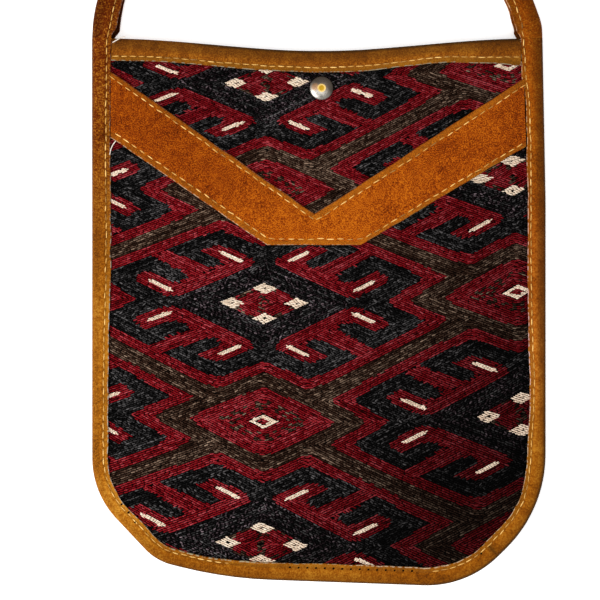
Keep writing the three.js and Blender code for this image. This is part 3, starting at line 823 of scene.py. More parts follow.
def suede(name, dark, middle, light, raw, grainy, fibre, tints_and_shade=None):
    """Brushed suede: cloudy and mottled nap, fine fibres, a pale cut edge, a tan rim outside the stitches and
    a fold and the face beside it darkened by painted shade, which also lies in grooves and inside folds. The
    cut edge has one colour on the bag's left and another on its right."""
    finish = Finish(name, Sheen_Weight=0.06, Sheen_Roughness=0.6, Sheen_Tint=paint(light),
                    Specular_IOR_Level=0.04)
    clouds = finish.noise(24, 3, 0.55)
    mottle = finish.noise(150, 2, 0.55)
    nap = finish.noise(420, 2, 0.55)
    fibres = finish.noise(fibre, 2, 0.6)
    tone = 1.0 * clouds + 0.6 * mottle + 0.5 * nap + grainy * fibres - 0.55 - 0.5 * grainy
    colour = finish.ramp(tone, (0.0, dyed(dark)), (0.5, dyed(middle)), (1.0, dyed(light)))
    colour = finish.mix(finish.mark("rim") * 0.3, colour, dyed("#A06E1C"))
    side = finish.axis("X").step(-0.07, 0.06)
    # painted shade on the fold and on the face beside it
    fold_shade = finish.mark("rolling").step(0.1, 0.85)
    colour = finish.mix(fold_shade * (0.7 + 0.4 * nap), colour, dyed("#33220B"))
    # painted shade in grooves and inside folds, deeper on the bag's left
    hollow_shade_colour = finish.mix(side, dyed("#3C240A"), dyed("#96602A"))
    colour = finish.mix(finish.mark("pressed") * 0.85, colour, hollow_shade_colour)
    cut_colour = finish.mix(side, dyed(raw[0]), dyed(raw[1]))
    frayed = finish.mark("cut") * finish.noise(500, 2).step(0.42, 0.6)
    colour = finish.mix(frayed, colour, cut_colour)
    if tints_and_shade:
        colour = tints_and_shade(finish, colour)
    return finish.wear(colour, 0.85 + 0.1 * nap, finish.bump(0.5 * nap + fibres, 0.45, 0.0005))


def wool(name, dark, middle, light, tint=dyed, darkening_share=1.0):
    """Twisted wool yarn whose shade changes from stitch to stitch, darker to the right and lower right, and
    darker at the top, most on the left, where painted shade stands for the shade under the mouth strip."""
    finish = Finish(name, Specular_IOR_Level=0.02)
    fuzz = finish.noise(1500, 1, 0.6)
    drawn_out = finish.node("ShaderNodeMapping", {}, {"Vector": finish.place, "Scale": (0.45, 1, 1)})
    hairs = finish.noise(2100, 1, 0.6, drawn_out)
    batch = finish.noise(60, 2)
    tone = finish.mark("shade") + 0.5 * fuzz + 0.9 * hairs + 0.4 * batch - 0.9
    colour = finish.ramp(tone, (0.0, tint(dark)), (0.42, tint(middle)), (1.0, tint(light)))
    right = finish.axis("X")
    height = finish.axis("Y")
    darkening_and_shade = (right - height).step(0.03, 0.2) * 0.5 + right.step(-0.08, 0.1) * 0.3
    # painted shade under the mouth strip: darker at the top, most on the left
    darkening_and_shade = darkening_and_shade + (height - 0.5 * right).step(0.08, 0.18) * 0.36
    colour = finish.mix(darkening_and_shade * darkening_share, colour, tint(dark))
    return finish.wear(colour, 0.7 + 0.2 * fuzz, finish.bump(fuzz, 0.4, 0.0003))


def cotton(name, dark, light):
    """Plain-woven lining."""
    finish = Finish(name, Sheen_Weight=0.1, Specular_IOR_Level=0.2)
    sockets = {"Vector": finish.place, "Scale": 330.0}
    warp, weft = (finish.node("ShaderNodeTexWave", {"bands_direction": way}, sockets) for way in "XY")
    weave = warp * 0.5 + weft * 0.5
    colour = finish.ramp(0.6 * weave + 0.5 * finish.noise(90), (0.2, paint(dark)), (0.9, paint(light)))
    return finish.wear(colour, 0.85 + 0.1 * weave, finish.bump(weave, 0.4, 0.0003))


def thread(name, dark, middle, light):
    """Waxed sewing thread with its twist."""
    finish = Finish(name, Specular_IOR_Level=0.5)
    twist = finish.node("ShaderNodeTexWave", {"bands_direction": "DIAGONAL"},
                        {"Vector": finish.place, "Scale": 700.0, "Distortion": 1.5})
    tone = 0.8 * finish.mark("shade") + 0.25 * twist + 0.4 * finish.noise(600) - 0.2
    colour = finish.ramp(tone, (0.1, dyed(dark)), (0.5, dyed(middle)), (0.9, paint(light)))
    return finish.wear(colour, 0.45 + 0.15 * twist, finish.bump(twist, 0.5, 0.0002))


def metal(name, dark, light, worn=None):
    """Plated metal with fine scratches, and where asked a crown worn through to another metal and a
    painted dark reflection.
    """
    finish = Finish(name, Metallic=1.0)
    clouds = finish.noise(260, 3, 0.6)
    scratches = finish.noise(1800, 2, 0.7)
    colour = finish.ramp(0.6 * clouds + 0.4 * scratches, (0.3, paint(dark)), (0.7, paint(light)))
    if worn:
        colour = worn(finish, colour, clouds)
    return finish.wear(colour, 0.26 + 0.25 * clouds, finish.bump(scratches, 0.15, 0.0001))


def floor_finish():
    """White paper, a little lit from behind, as in a photograph cut out on white."""
    finish = Finish("floor_white", Specular_IOR_Level=0.1, Emission_Color=(1, 1, 1, 1),
                    Emission_Strength=0.35)
    paper = finish.noise(40)
    colour = finish.ramp(paper, (0.3, paint("#F9F9F8")), (0.7, paint("#FBFBFA")))
    return finish.wear(colour, 0.85 + 0.1 * paper, finish.bump(paper, 0.02, 0.0005))


def edge_tints_and_shade(finish, colour):
    """The strip is darker and more speckled towards the strap, redder on its right side and darker there,
    partly as painted shade, and darker along the bottom."""
    across = finish.axis("X")
    height = finish.axis("Y")
    right = across.step(-0.09, 0.1)
    speckled = 3.2 * finish.noise(1000, 2, 0.6) - 0.75
    upper = finish.mix(right, paint("#92624A"), paint("#E2BC84"))
    strap = finish.mix(right, paint("#EED8E4"), paint("#E6DCD4"))
    colour = finish.mix(height.step(-0.04, 0.13) * speckled, colour, upper, "MULTIPLY")
    colour = finish.mix(height.step(0.11, 0.17) * speckled, colour, strap, "MULTIPLY")
    # the right side is redder and darker in its middle, partly painted shade
    right_side_tint_and_shade = across.step(0.06, 0.1) * (1 - height.step(0.03, 0.1)) * height.step(-0.1, -0.01)
    colour = finish.mix(right_side_tint_and_shade, colour, paint("#EED8E0"), "MULTIPLY")
    bottom = 1 - (height - 0.3 * across).step(-0.105, -0.075)
    return finish.mix(bottom, colour, paint("#DAD0B4"), "MULTIPLY")


def worn_band(finish, colour):
    """The left arm of the V is darker than the right one."""
    left = 1 - finish.axis("X").step(-0.09, -0.02)
    return finish.mix(left, colour, paint("#E2DAC8"), "MULTIPLY")


def cap_wear_and_reflection(finish, colour, clouds):
    """The cap is darkened on its upper right by a painted dark reflection and is tan on its left, and its
    crown is worn to the brass.
    """
    across = finish.axis("X") - SNAP_X * MM
    along = finish.axis("Y") - SNAP_Y * MM
    # painted dark reflection on the upper right
    dark_reflection = (along + 0.6 * across + 0.003 * clouds).step(-0.003, 0.004)
    colour = finish.mix(dark_reflection * 0.9, colour, paint("#4A3E34"))
    tan_across = across + 0.0036
    tan_along = along - 0.0006
    from_tan = tan_across * tan_across + tan_along * tan_along
    colour = finish.mix((1 - from_tan.step(1e-6, 7e-6)) * 0.65, colour, paint("#A87848"))
    reach = across * across + along * along
    crown = 1 - (reach + 2.5e-6 * clouds).step(5.0e-6, 7.5e-6)
    off_crown = (reach + 2e-6 * clouds).step(2e-6, 5e-6)
    crown_colour = finish.mix(off_crown, paint("#8C6C18"), paint("#BCA060"))
    return finish.mix(crown, colour, crown_colour)


GOLD_THREAD = thread("gold_thread", "#94601A", "#E6A63E", "#F2C470")
WHITE_THREAD = thread("white_thread", "#B09A86", "#E8D6C6", "#FFF6EA")
# painted shadow in the needle holes
HOLE_SHADOW = wool("stitch_hole_shadow", "#080301", "#140803", "#241006")
BAND_SUEDE = suede("band_suede", "#5A2002", "#9E4105", "#D27212", ("#DFBEA0", "#A8742E"), 3.3, 1800,
                   worn_band)
EDGE_SUEDE = suede("edge_suede", "#6A3606", "#B0660F", "#E09C34", ("#D2CABA", "#F6DCCC"), 1.6, 1300,
                   edge_tints_and_shade)
MOUTH_SUEDE = suede("mouth_suede", "#4E2606", "#88480B", "#B8741E", ("#A09478", "#A09478"), 1.8, 1500)
BACK_SUEDE = suede("back_suede", "#6A380A", "#9E5B12", "#CC8A2E", ("#C9A26A", "#C9A26A"), 1.6, 1300)
COTTON = cotton("lining_cotton", "#15110E", "#3A2F27")
NICKEL = metal("cap_nickel", "#6E6A64", "#C9C4BA", cap_wear_and_reflection)
BRASS = metal("snap_brass", "#7E6430", "#C9A65C")
YARNS = {
    "black": wool("yarn_black", "#010101", "#161515", "#747070"),
    "mauve": wool("yarn_mauve", "#080506", "#2A2023", "#948288"),
    "red": wool("yarn_red", "#240203", "#8A0E18", "#C85058"),
    "brown": wool("yarn_brown", "#0C0503", "#382319", "#A88C76"),
    "ivory": wool("yarn_ivory", "#B0907A", "#DECAB2", "#F4E8D6", paint, 0.35),
}
GROUND_CLOTH = wool("ground_cloth", "#020101", "#080404", "#1A0E0E")


# Pieces

def sway(x):
    """How far the weave is moved sideways at places across the bag."""
    return MOTIF_SWAY * np.cos(math.tau * (x - MOTIF_SWAY_X) / MOTIF_SWAY_LENGTH)


def lattice_at(x, y):
    """Lattice coordinates of a place on the front. They run along the two diagonals, and a medallion is 2
    from the next one on the same diagonal."""
    row_y = y - MOTIF_FAN * x * (y - MOTIF_FAN_Y) + MOTIF_ROW_BOW * (1 - (x / HALF_WIDTH) ** 2)
    drop = np.maximum(MOTIF_TOP - row_y, -MOTIF_ROW)
    row = (-MOTIF_ROW + np.sqrt(MOTIF_ROW ** 2 + 4 * MOTIF_ROW_GROWTH * drop)) / (2 * MOTIF_ROW_GROWTH)
    column = ((x - sway(x)) * (1 + MOTIF_FLARE * (y - MOTIF_FLARE_Y)) - MOTIF_X) / MOTIF_COLUMN
    return column + row, column - row


def place_at(p, q):
    """The place of two lattice coordinates on the front, found in a few rounds."""
    column_x = MOTIF_X + MOTIF_COLUMN * (p + q) / 2
    row = (p - q) / 2
    row_y = MOTIF_TOP - MOTIF_ROW * row - MOTIF_ROW_GROWTH * row * row
    x = column_x
    for _ in range(4):
        bow = MOTIF_ROW_BOW * (1 - (x / HALF_WIDTH) ** 2)
        y = (row_y - bow - MOTIF_FAN * MOTIF_FAN_Y * x) / (1 - MOTIF_FAN * x)
        x = column_x / (1 + MOTIF_FLARE * (y - MOTIF_FLARE_Y)) + sway(x)
    return x, y


def rounded_max(one, two):
    """The larger of two distances, with a rounded corner where they are the same."""
    return (one + two + np.sqrt((one - two) ** 2 + FIGURE_ROUND ** 2)) / 2


def brocade_figure(p, q):
    """What the brocade is at lattice coordinates: the colour of its yarn, whether its chains run up to the
    right or down to the right, and how much its stitches lean. Chains follow the edges of the figure."""
    from_p = p - 2 * np.round(p / 2)
    from_q = q - 2 * np.round(q / 2)
    one = np.abs(from_p)
    two = np.abs(from_q)
    far = np.maximum(one, two)
    near = np.minimum(one, two)
    sideward = from_p * from_q > 0
    luck = chance.random(len(p))

    stem = np.where(sideward, STEM_THIN, STEM_THICK)
    arm_edge = rounded_max(rounded_max(near - ARM_WIDE, far - HOOK_END), BAR_INNER - far)
    notch_edge = rounded_max(rounded_max(stem - near, near - HOOK_INSIDE), BAR_OUTER - far)
    stems = (far > BAR_OUTER) & (near < stem)
    arm = (arm_edge < 0) & (notch_edge > 0)
    hooks = arm & (far > BAR_OUTER) & (near > HOOK_INSIDE)
    dash_middle = sum(DASH_ENDS) / 2
    to_dash_end = (DASH_ENDS[1] - dash_middle) - np.abs(far - dash_middle)
    dashes = np.abs(near - DASH_PLACE) < DASH_REACH * np.clip(to_dash_end / DASH_TAPER, 0, 1)
    from_dot = np.maximum(np.abs(one - DOT_PLACE), np.abs(two - DOT_PLACE))
    dots = from_dot < DOT_REACH
    middle = far < MIDDLE_REACH
    middle_line = np.abs(from_p + from_q) < MIDDLE_LINE
    middle_rim = far > MIDDLE_RIM * MIDDLE_REACH
    middle_mark = middle & (middle_line | middle_rim) & (luck < MIDDLE_FLECKED)

    blunt = -rounded_max(-one, -two)
    inside_border = rounded_max(far - BORDER_INNER[0], blunt - BORDER_INNER[1])
    outside_border = rounded_max(far - BORDER_OUTER[0], blunt - BORDER_OUTER[1])
    from_lozenge = rounded_max(1 - one, 1 - two)
    lozenge = from_lozenge < 1 - LOZENGE
    from_ring = 1 - near
    ring = (from_ring > RING[0]) & (from_ring < RING[1])
    wave = np.cos(math.tau * 2 * (1 - far) / np.maximum(1 - near, WAVE_HEART))
    fleck_ring = (from_lozenge > FLECKS[0]) & (from_lozenge < FLECKS[1])
    flecks = lozenge & fleck_ring & (wave < FLECK_TROUGH) & (luck < FLECKED)
    brown_band = (outside_border > 0) & ~lozenge
    border = (inside_border > 0) & (outside_border <= 0) & ~lozenge
    body_flecks = (far < BAR_INNER) & (luck < BODY_FLECKED)

    colour = np.full(len(p), "black", dtype="<U8")
    colour[body_flecks] = "mauve"
    colour[arm | stems | middle] = "red"
    colour[middle_mark] = "brown"
    colour[dashes | dots] = "ivory"
    colour[from_dot < DOT_HEART] = "brown"
    colour[border] = "red"
    colour[brown_band] = "brown"
    colour[lozenge] = "red"
    colour[flecks] = "brown"
    colour[lozenge & ring] = "ivory"

    in_arm = (far > BAR_OUTER) & (far < BORDER_INNER[0])
    along_near = np.where(inside_border > 0, near - BORDER_INNER[1] > far - BORDER_INNER[0],
                          stems | hooks | dashes | (in_arm & (near > STEM_THICK) & (far < HOOK_END)))
    from_peak = np.minimum(np.abs(one - two), np.abs(far - near - BORDER_INNER[0] + BORDER_INNER[1]))
    lean = np.where(sideward | (inside_border < 0), 1, np.clip(from_peak / PEAK_REACH, 0, 1))
    lean[dots] = 0
    return colour, dots | ((one > two) ^ along_near), lean


def slopes(x, y, heading):
    """Slopes of the lifted front along and across a heading."""
    slope_x = front_lift(x + 0.5, y) - front_lift(x - 0.5, y)
    slope_y = front_lift(x, y + 0.5) - front_lift(x, y - 0.5)
    return (slope_x * np.cos(heading) + slope_y * np.sin(heading),
            slope_y * np.cos(heading) - slope_x * np.sin(heading))


def shown_yarn(x, y):
    """Whether yarn at a place shows, or lies just under the edge of what covers it."""
    above_bottom = y > lower_edge(x, leaf_width(CHAIN_ALONG) - HIDDEN_YARN)
    below_mouth = y < mouth_y(x) - mouth_leaf(x) + HIDDEN_YARN
    between_sides = np.abs(x) < SEAM_X + HIDDEN_YARN
    beside_cap = np.hypot(x - SNAP_X, y - SNAP_Y) > CAP_RADIUS - CAPPED_YARN
    below_upper = y < read_off(BAND_UPPER, x) - HIDDEN_YARN
    above_lower = y > read_off(BAND_LOWER, x) + HIDDEN_YARN
    under_band = below_upper & above_lower
    return above_bottom & below_mouth & between_sides & beside_cap & ~under_band


def yarn_chains(share, rising):
    """Stitches in chains along one diagonal of the lattice, all over the front: their lattice coordinates and
    the shade of each one's chain."""
    corner_x = np.array((-HALF_WIDTH, -HALF_WIDTH, HALF_WIDTH, HALF_WIDTH))
    corner_y = np.array((LOW, TOP, LOW, TOP))
    spans = [(corners.min(), corners.max()) for corners in lattice_at(corner_x, corner_y)]
    across_span, along_span = spans if rising else spans[::-1]
    lines = np.arange(*across_span, YARN_LINE * share)
    steps = np.arange(*along_span, YARN_STEP * share)
    line, along = (grid.ravel() for grid in np.meshgrid(np.arange(len(lines)), steps, indexing="ij"))
    across_stray, along_stray = YARN_STRAY
    across = lines[line] + chance.normal(0, across_stray * YARN_LINE, len(line))
    starts = chance.random(len(lines))[line]
    along = along + YARN_STEP * share * (starts + chance.normal(0, along_stray, len(line)))
    shade = chance.normal(0, CHAIN_SHADE, len(lines))[line]
    return (across, along) if rising else (along, across), shade


def yarn_stitches(share):
    """Every stitch that shows: its place, heading, colour and shade. Where chains of both diagonals meet, the
    rising ones run on by half a stitch, so that no gap is left."""
    ahead = 0.01
    over = YARN_STEP * share / 2
    found = []
    for rising in (True, False):
        (p, q), shade = yarn_chains(share, rising)
        x, y = place_at(p, q)
        colour, figure_rising, lean = brocade_figure(p, q)
        kept = figure_rising == rising
        if rising:
            for shift in (-over, over):
                kept |= brocade_figure(p, q + shift)[1]
        kept &= shown_yarn(x, y)
        next_x, next_y = place_at(p + (0 if rising else ahead), q + (ahead if rising else 0))
        heading = lean * np.arctan2(next_y - y, next_x - x)
        found.append([values[kept] for values in (x, y, heading, colour, shade)])
    return [np.concatenate(values) for values in zip(*found)]


def brocade():
    """Every stitch of yarn that shows on the front, one piece for each colour."""
    for names, share, raised, size in (
        (("black", "mauve", "red", "brown"), 1, 0, YARN_SIZE),
        (("ivory",), IVORY_SHARE, IVORY_RAISED, IVORY_SIZE),
    ):
        x, y, heading, colour, shade = yarn_stitches(share)
        count = len(x)
        turns = np.full(count, YARN_TURN)
        for name, (_, turn) in LOOSE_YARN.items():
            turns[colour == name] = turn
        heading = heading + chance.normal(0, 1, count) * turns
        rise, tilt = slopes(x, y, heading)
        z = front_lift(x, y) + YARN_MIDDLE + raised + chance.normal(0, YARN_RISE, count)
        shade = shade + chance.normal(*YARN_SHADE, count)
        shade = np.clip(shade + YARN_SHINE * chance.random(count) ** YARN_SHINE_RARE, 0, 1)
        for name in names:
            mine = colour == name
            places = [values[mine] for values in (x, y, z, heading, rise, tilt)]
            length = LOOSE_YARN.get(name, (1,))[0]
            stitch = (size[0] * length, size[1], size[2])
            piece = sown(f"kilim_yarn_{name}", YARN_GRAIN, places, stitch, YARNS[name], shade[mine])


def seam(name, line, height, pitch=STITCH_PITCH):
    """Thread stitches along a line: one of x, y on a surface whose height is a function, or one of x, y, z,
    at a height above it."""
    ends = evenly(np.asarray(line, float), pitch)[1]
    points = (ends[:-1] + ends[1:]) / 2
    heading = np.arctan2(*np.diff(ends[:, :2], axis=0).T[::-1])
    count = len(points)
    side = sideways(points) * chance.normal(0, STITCH_STRAY, (count, 1))
    x, y = (points[:, :2] + side).T
    if callable(height):
        z = height(x, y)
        rise, tilt = slopes(x, y, heading)
    else:
        z = points[:, 2] + height
        rise = np.diff(ends[:, 2]) / pitch
        tilt = np.zeros(count)
    heading = heading + chance.normal(0, STITCH_TURN, count)
    shade = np.clip(chance.normal(*STITCH_SHADE, count), 0, 1)
    places = (x, y, z - STITCH_SUNK, heading, rise, tilt)
    piece = sown(name, THREAD_GRAIN, places, STITCH_SIZE, GOLD_THREAD, shade)
    return piece


def on_face(x, y):
    """Height of the suede that is sewn on the front."""
    return front_lift(x, y) + FACE_HIGH


def on_edge_strip(x, y):
    """Height of the thread on the edge strip, which has sunk into it along the bottom."""
    sunk = smoothstep(x, *SUNK_FROM) * (1 - smoothstep(x, *SUNK_TO)) * (y < 0)
    return on_face(x, y) - SUNK_DEEP * sunk


def edge_binding():
    """One suede strip folded round the sides and the bottom."""
    along, edge, normals = evenly(CHAIN, PATH_STEP, CHAIN_NORMALS)
    normals /= np.linalg.norm(normals, axis=1)[:, None]
    x, y = edge.T
    leaf = leaf_width(along)
    front_leaf = leaf + wander(along, *EDGE_FRONT_STRAY) + wander(along, *EDGE_FRAY)
    back_leaf = leaf + wander(along, *EDGE_BACK_STRAY)
    high = np.where(y > MOUTH_BLEND[0], front_lift(x, y), 0) + FACE_HIGH
    # painted shade of the fold, darker on the sides that lie away from the light
    fold_shade = np.clip(EDGE_FOLD_SHADE + normals @ AWAY_FROM_LIGHT, EDGE_FOLD_SHADE_LEAST, 1)
    upper_left = smoothstep(y, *LEFT_SHADE_FADE) * (normals[:, 0] > 0)
    upper_right = smoothstep(y, *RIGHT_SHADE_FADE) * np.clip(-normals[:, 0], 0, 1)
    rounded = (EDGE_ROUNDED + EDGE_ROUNDED_RIGHT * upper_right) * (1 - upper_left)
    sewn = read_off(EDGE_SEWN, along)
    slant = np.where(y < CUT_PLACES_TOP, read_off(CUT_PLACES, x), CUT_SLANT)
    section = fold_section(back_leaf, front_leaf, np.zeros_like(high), high, BINDING_SUEDE, EDGE_ROLL, sewn,
                           fold_shade, rounded, slant)

    # the crease is drawn only as painted shade, on top of the leaf
    from_crease = np.abs(along - along[np.argmin(np.linalg.norm(edge - CREASE, axis=1))])
    crease_shade = CREASE_SHADE * np.exp(-((from_crease / CREASE_WIDTH) ** 2))
    inset = section["inset"]
    on_leaf = (inset > CREASE_FROM) & (inset < (leaf - sewn)[:, None])
    on_top = section["height"] > high[:, None] - 2 * BINDING_SUEDE
    section["rolling"] = np.maximum(section["rolling"], crease_shade[:, None] * (on_top & on_leaf))

    piece = folded_strip("edge_strip", edge, normals, section, EDGE_SUEDE)
    stand_for(piece, "edge_binding")
    front_line = edge + normals * (leaf - sewn)[:, None]
    seam("edge_stitches", front_line, on_edge_strip)
    seam("edge_stitches_back", np.column_stack([front_line, 0 * x]), UNDER_STITCH)


def mouth_binding(name, node, low, high, lifted):
    """A suede strip folded over the mouth edge of one panel."""
    left_leaf, right_leaf = leaf_width(CHAIN_ALONG[[0, -1]])
    left_end = STRIP_GAP + left_leaf - HALF_WIDTH
    right_end = HALF_WIDTH - RIGHT_LEAN - right_leaf - STRIP_GAP
    x = np.linspace(left_end, right_end, MOUTH_RINGS)
    edge = np.column_stack([x, mouth_y(x)])
    normals = -sideways(edge)
    along = x - x[0]
    lift = mouth_lift(x) if lifted else np.zeros_like(x)
    width = mouth_leaf(x)
    sewn = read_off(MOUTH_PLACES, x, 2)
    leaf = width + wander(along, *MOUTH_STRAY)
    # painted shade of the fold, faint at the mouth's left end
    fold_shade = blend(*MOUTH_FOLD_SHADE, smoothstep(x, *MOUTH_FOLD_SHADE_FADE))
    section = fold_section(leaf, leaf, low + lift, high + lift, BINDING_SUEDE, MOUTH_ROLL, sewn, fold_shade,
                           MOUTH_ROUNDED)
    piece = folded_strip(name, edge, normals, section, MOUTH_SUEDE)
    stand_for(piece, node)
    line = edge + normals * (width - sewn)[:, None]
    if lifted:
        seam(f"{name}_stitches", line, on_face)
    else:
        seam(f"{name}_stitches", np.column_stack([line, 0 * x]), UNDER_STITCH)


def chevron_band():
    """The V of suede on the front, sewn along its edges."""
    arm, foot = BAND_RINGS
    places = np.r_[np.linspace(0, 1, arm, endpoint=False), np.linspace(1, 2, foot, endpoint=False),
                   np.linspace(2, 3, arm)]

    def at_places(turns):
        return np.stack([np.interp(places, range(4), column) for column in np.transpose(turns)], axis=1)

    left_end, tip, right_end = BAND_UPPER
    upper = at_places((left_end, tip, tip, right_end))
    lower = at_places(BAND_LOWER)
    across = upper - lower
    across /= np.linalg.norm(across, axis=1)[:, None]
    along = lengths_along(lower)
    upper = upper + across * wander(along, *BAND_STRAY)[:, None]
    lower = lower - across * wander(along, *BAND_STRAY)[:, None]

    def face(edge, way, sewn):
        """Rows of the face from a cut edge over its stitches."""
        rows = ((CUT_SLANT, CUT_DROP, 1), (sewn - GROOVE_REACH, 0, 1), (sewn, GROOVE_DEPTH, 0.5),
                (sewn + GROOVE_REACH, 0, 0))
        return [(edge + way * inset, FACE_HIGH - depth, 0, rim) for inset, depth, rim in rows]

    def cut(edge, way, pale):
        """Rows of a cut edge from the face down to the underside."""
        slanted = edge + way * (CUT_SLANT - CUT_ROUND)
        return [(slanted, FACE_HIGH - CUT_DROP - CUT_ROUND, pale, 0),
                (edge, FACE_HIGH - CUT_KNEE * BINDING_SUEDE, pale, 0), (edge, FACE_LOW, pale, 0)]

    left_sewn, foot_sewn, right_sewn = BAND_LOWER_SEWN
    lower_sewn = np.interp(places, BAND_SEWN_TURNS, (left_sewn, foot_sewn, foot_sewn, right_sewn))
    upper_sewn = np.interp(places, (1, 2), BAND_UPPER_SEWN)
    rows = face(lower, across, lower_sewn[:, None])
    rows += [(blend(lower, upper, share), FACE_HIGH, 0, 0) for share in BAND_FACE_ROWS]
    rows += face(upper, -across, upper_sewn[:, None])[::-1]
    rows += cut(upper, -across, BAND_UPPER_CUT)
    rows += [(blend(upper, lower, share), FACE_LOW, 0, 0) for share in BAND_UNDER_ROWS]
    rows += cut(lower, across, 1)[::-1]
    flats, heights, cuts, rims = zip(*rows)
    rings = np.stack([np.column_stack([flat, front_lift(*flat.T) + height])
                      for flat, height in zip(flats, heights)], axis=1)
    shape = rings.shape[:2]
    piece = rolled("chevron_suede", rings, BAND_SUEDE, cut=np.broadcast_to(cuts, shape),
                   rim=np.broadcast_to(rims, shape))
    stand_for(piece, "chevron_band")
    upper_seam = offset_line(BAND_UPPER, [-inset for inset in BAND_UPPER_SEWN])
    lower_seam = offset_line(BAND_LOWER, BAND_LOWER_SEWN)
    for edge, line in (("upper", upper_seam), ("lower", lower_seam)):
        seam(f"chevron_stitches_{edge}", line, on_face, pitch=BAND_PITCH)


def shoulder_strap():
    """The strip goes on past the corners, folded flat, as the strap."""
    along, path = evenly(catmull_rom(STRAP_ROUTE, ROUTE_STEPS), PATH_STEP)
    path[[0, -1], 1] = TOP
    left = sideways(path)
    left[[0, -1]] = ((-1, 0), (1, 0))
    from_end = np.minimum(along, along[-1] - along)
    right = along > along[-1] / 2
    settle = smoothstep(from_end, 0, STRAP_SETTLES_OVER)
    corner_high = FACE_HIGH + SEAM_LIFT
    low = blend(0, path[:, 2] - STRAP_THICKNESS / 2, settle)
    high = blend(corner_high, path[:, 2] + STRAP_THICKNESS / 2, settle)
    thickness = blend(BINDING_SUEDE, STRAP_SUEDE, settle)
    roll = blend(EDGE_ROLL, STRAP_ROLL, settle)

    left_over, right_over = STRAP_WIDENS_OVER
    widens_over = np.where(right, right_over, left_over)
    wider = STRAP_RIGHT_WIDER * right * (1 - smoothstep(from_end, *STRAP_RIGHT_FADE))
    end_leaf = leaf_width(np.where(right, CHAIN_ALONG[-1], 0))
    front_leaf = blend(end_leaf, STRAP_FRONT_LEAF + wider, smoothstep(from_end, 0, widens_over))
    back_widens = smoothstep(from_end, 0, STRAP_BACK_SOONER * widens_over)
    back_leaf = blend(end_leaf + STRAP_BACK_SHOWS, STRAP_WIDTH + wider, back_widens)
    end_sewn = np.where(right, EDGE_SEWN[-1][1], EDGE_SEWN[0][1])
    sewn = blend(end_sewn, STRAP_STITCH_IN, smoothstep(from_end, 0, STRAP_SEWN_OVER))
    back_cut = back_leaf + wander(along, *STRAP_BACK_STRAY)
    front_cut = front_leaf + wander(along, *STRAP_FRONT_STRAY)
    section = fold_section(back_cut, front_cut, low, high, thickness, roll, sewn, STRAP_FOLD_SHADE,
                           STRAP_ROUNDED)

    edge = path[:, :2] + left * STRAP_WIDTH / 2
    piece = folded_strip("strap", edge, -left, section, EDGE_SUEDE)
    stand_for(piece, "shoulder_strap")
    line = edge - left * (front_leaf - sewn)[:, None]
    top = seam("strap_stitches", np.column_stack([line, high]), 0)
    under = seam("strap_stitches_under", np.column_stack([line, low]), UNDER_STITCH)


def panels():
    """The cloth of the front, the suede of the back and the two linings."""
    for name, node, slot, heights, lifted, finish in (
        ("kilim_cloth", "front_panel", "kilim", CLOTH, True, GROUND_CLOTH),
        ("back_suede_panel", "back_panel", "suede", BACK_PANEL, False, BACK_SUEDE),
        ("front_lining_cotton", "front_lining", "lining", FRONT_LINING, True, COTTON),
        ("back_lining_cotton", "back_lining", "lining", BACK_LINING, False, COTTON),
    ):
        piece = layer(name, heights, lifted, finish)
        stand_for(piece, node)


def snap():
    """The press snap: cap and post on the front, socket, stud and rivet inside."""
    crown_low = CAP_BASE + CAP_RIM
    crown = [(CAP_RADIUS * math.cos(turn), crown_low + (CAP_HEIGHT - CAP_RIM) * math.sin(turn))
             for turn in np.linspace(0, math.pi / 2, CAP_ROWS)]
    crown[-1] = (0, crown[-1][1])
    lip = [(CAP_RADIUS - inset, CAP_BASE + rise) for inset, rise in CAP_LIP]
    cap = [(0, POST_END), (POST_RADIUS, POST_END), (POST_RADIUS, CAP_BASE), *lip, *crown]
    for name, profile, finish, node, slot in (
        ("snap_cap_shell", cap, NICKEL, "snap_cap", "nickel"),
        ("snap_socket_ring", SOCKET_PROFILE, BRASS, "snap_socket", "brass"),
        ("snap_stud_ball", STUD_PROFILE, BRASS, "snap_stud", "brass"),
        ("snap_rivet", RIVET_PROFILE, BRASS, "snap_back_rivet", "brass"),
    ):
        stand_for(turned(name, profile, (SNAP_X, SNAP_Y), finish), node)


def loose_thread(name, points):
    """A white thread end left by the sewing."""
    path = catmull_rom(points, THREAD_STEPS)
    turns = np.linspace(0, math.tau, THREAD_SIDES, endpoint=False)
    side = sideways(path)[:, None, :] * (np.cos(turns) * THREAD_RADIUS)[None, :, None]
    rise = (np.sin(turns) * THREAD_RADIUS)[None, :, None]
    rings = np.concatenate([path[:, None, :2] + side, path[:, 2][:, None, None] + rise], axis=2)
    shade = np.full(rings.shape[:2], THREAD_SHADE)
    rolled(name, rings, WHITE_THREAD, shade=shade)


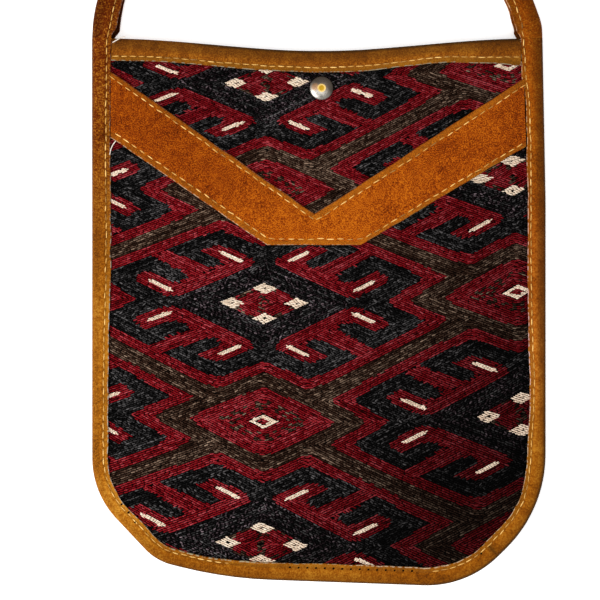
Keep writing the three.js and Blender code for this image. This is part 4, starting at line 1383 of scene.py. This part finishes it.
def stitch_hole_shadows():
    """Dark grains as painted shadow in the holes left open by the needle: where the strip was turned round
    the corners, and where its thread has sunk."""
    sunk_x = np.arange(*SUNK_HOLES, STITCH_PITCH)
    sunk_y = lower_edge(sunk_x, leaf_width(CHAIN_ALONG) - read_off(EDGE_SEWN, CHAIN_ALONG))
    x, y = np.concatenate([np.transpose(STITCH_HOLES), (sunk_x, sunk_y)], axis=1)
    flat = np.zeros_like(x)
    shade = np.full(len(x), HOLE_SHADE)
    deep = np.r_[np.zeros(len(STITCH_HOLES)), chance.uniform(*SUNK_HOLE_DEEP, len(sunk_x))]
    places = (x, y, on_face(x, y) - deep, flat + HOLE_HEADING, flat, flat)
    sown("stitch_hole_shadows", THREAD_GRAIN, places, HOLE_SIZE, HOLE_SHADOW, shade)


def thread_ends():
    """The two thread ends that were left."""
    corner_high = FACE_HIGH + THREAD_RADIUS
    side_high = FACE_HIGH - THREAD_RADIUS
    loose_thread("thread_end_corner", [(x, y, mouth_lift(x) + corner_high) for x, y in CORNER_THREAD])
    loose_thread("thread_end_side", [(x, y, front_lift(x, y) + side_high) for x, y in SIDE_THREAD])


def studio():
    """White floor, soft light from the left and above, and the camera straight over the bag."""
    bm = bmesh.new()
    bmesh.ops.create_grid(bm, x_segments=8, y_segments=8, size=FLOOR_REACH)
    bmesh.ops.translate(bm, verts=bm.verts, vec=(0, 0, FLOOR_Z))
    mesh = bpy.data.meshes.new("floor")
    bm.to_mesh(mesh)
    bm.free()
    mesh.materials.append(floor_finish())
    link("floor", mesh)

    scene = bpy.context.scene
    scene.world = bpy.data.worlds.new("soft_sky")
    scene.world.use_nodes = True
    sky = scene.world.node_tree.nodes["Background"].inputs
    sky["Color"].default_value = (1, 1, 1, 1)
    sky["Strength"].default_value = SKY_STRENGTH
    for name, place, size, power in LAMPS:
        light = bpy.data.lights.new(name, "AREA")
        light.size = size
        light.energy = power
        lamp = link(name, light)
        lamp.location = place
        lamp.rotation_euler = (-Vector(place)).to_track_quat("-Z", "Y").to_euler()

    camera = bpy.data.cameras.new("camera")
    camera.lens = LENS
    camera.sensor_width = SENSOR
    distance = FRAME_WIDTH * LENS / SENSOR
    scene.camera = link("camera", camera)
    scene.camera.location = Vector((*FRAME_CENTRE, FACE_Z + distance)) * MM
    scene.view_settings.view_transform = "Standard"


shoulder_strap()
panels()
edge_binding()
mouth_binding("mouth_strip_front", "top_binding_front", INNER_LEAF_LOW, FACE_HIGH, True)
mouth_binding("mouth_strip_back", "top_binding_back", 0, BACK_MOUTH_HIGH, False)
chevron_band()
brocade()
snap()
stitch_hole_shadows()
thread_ends()
studio()
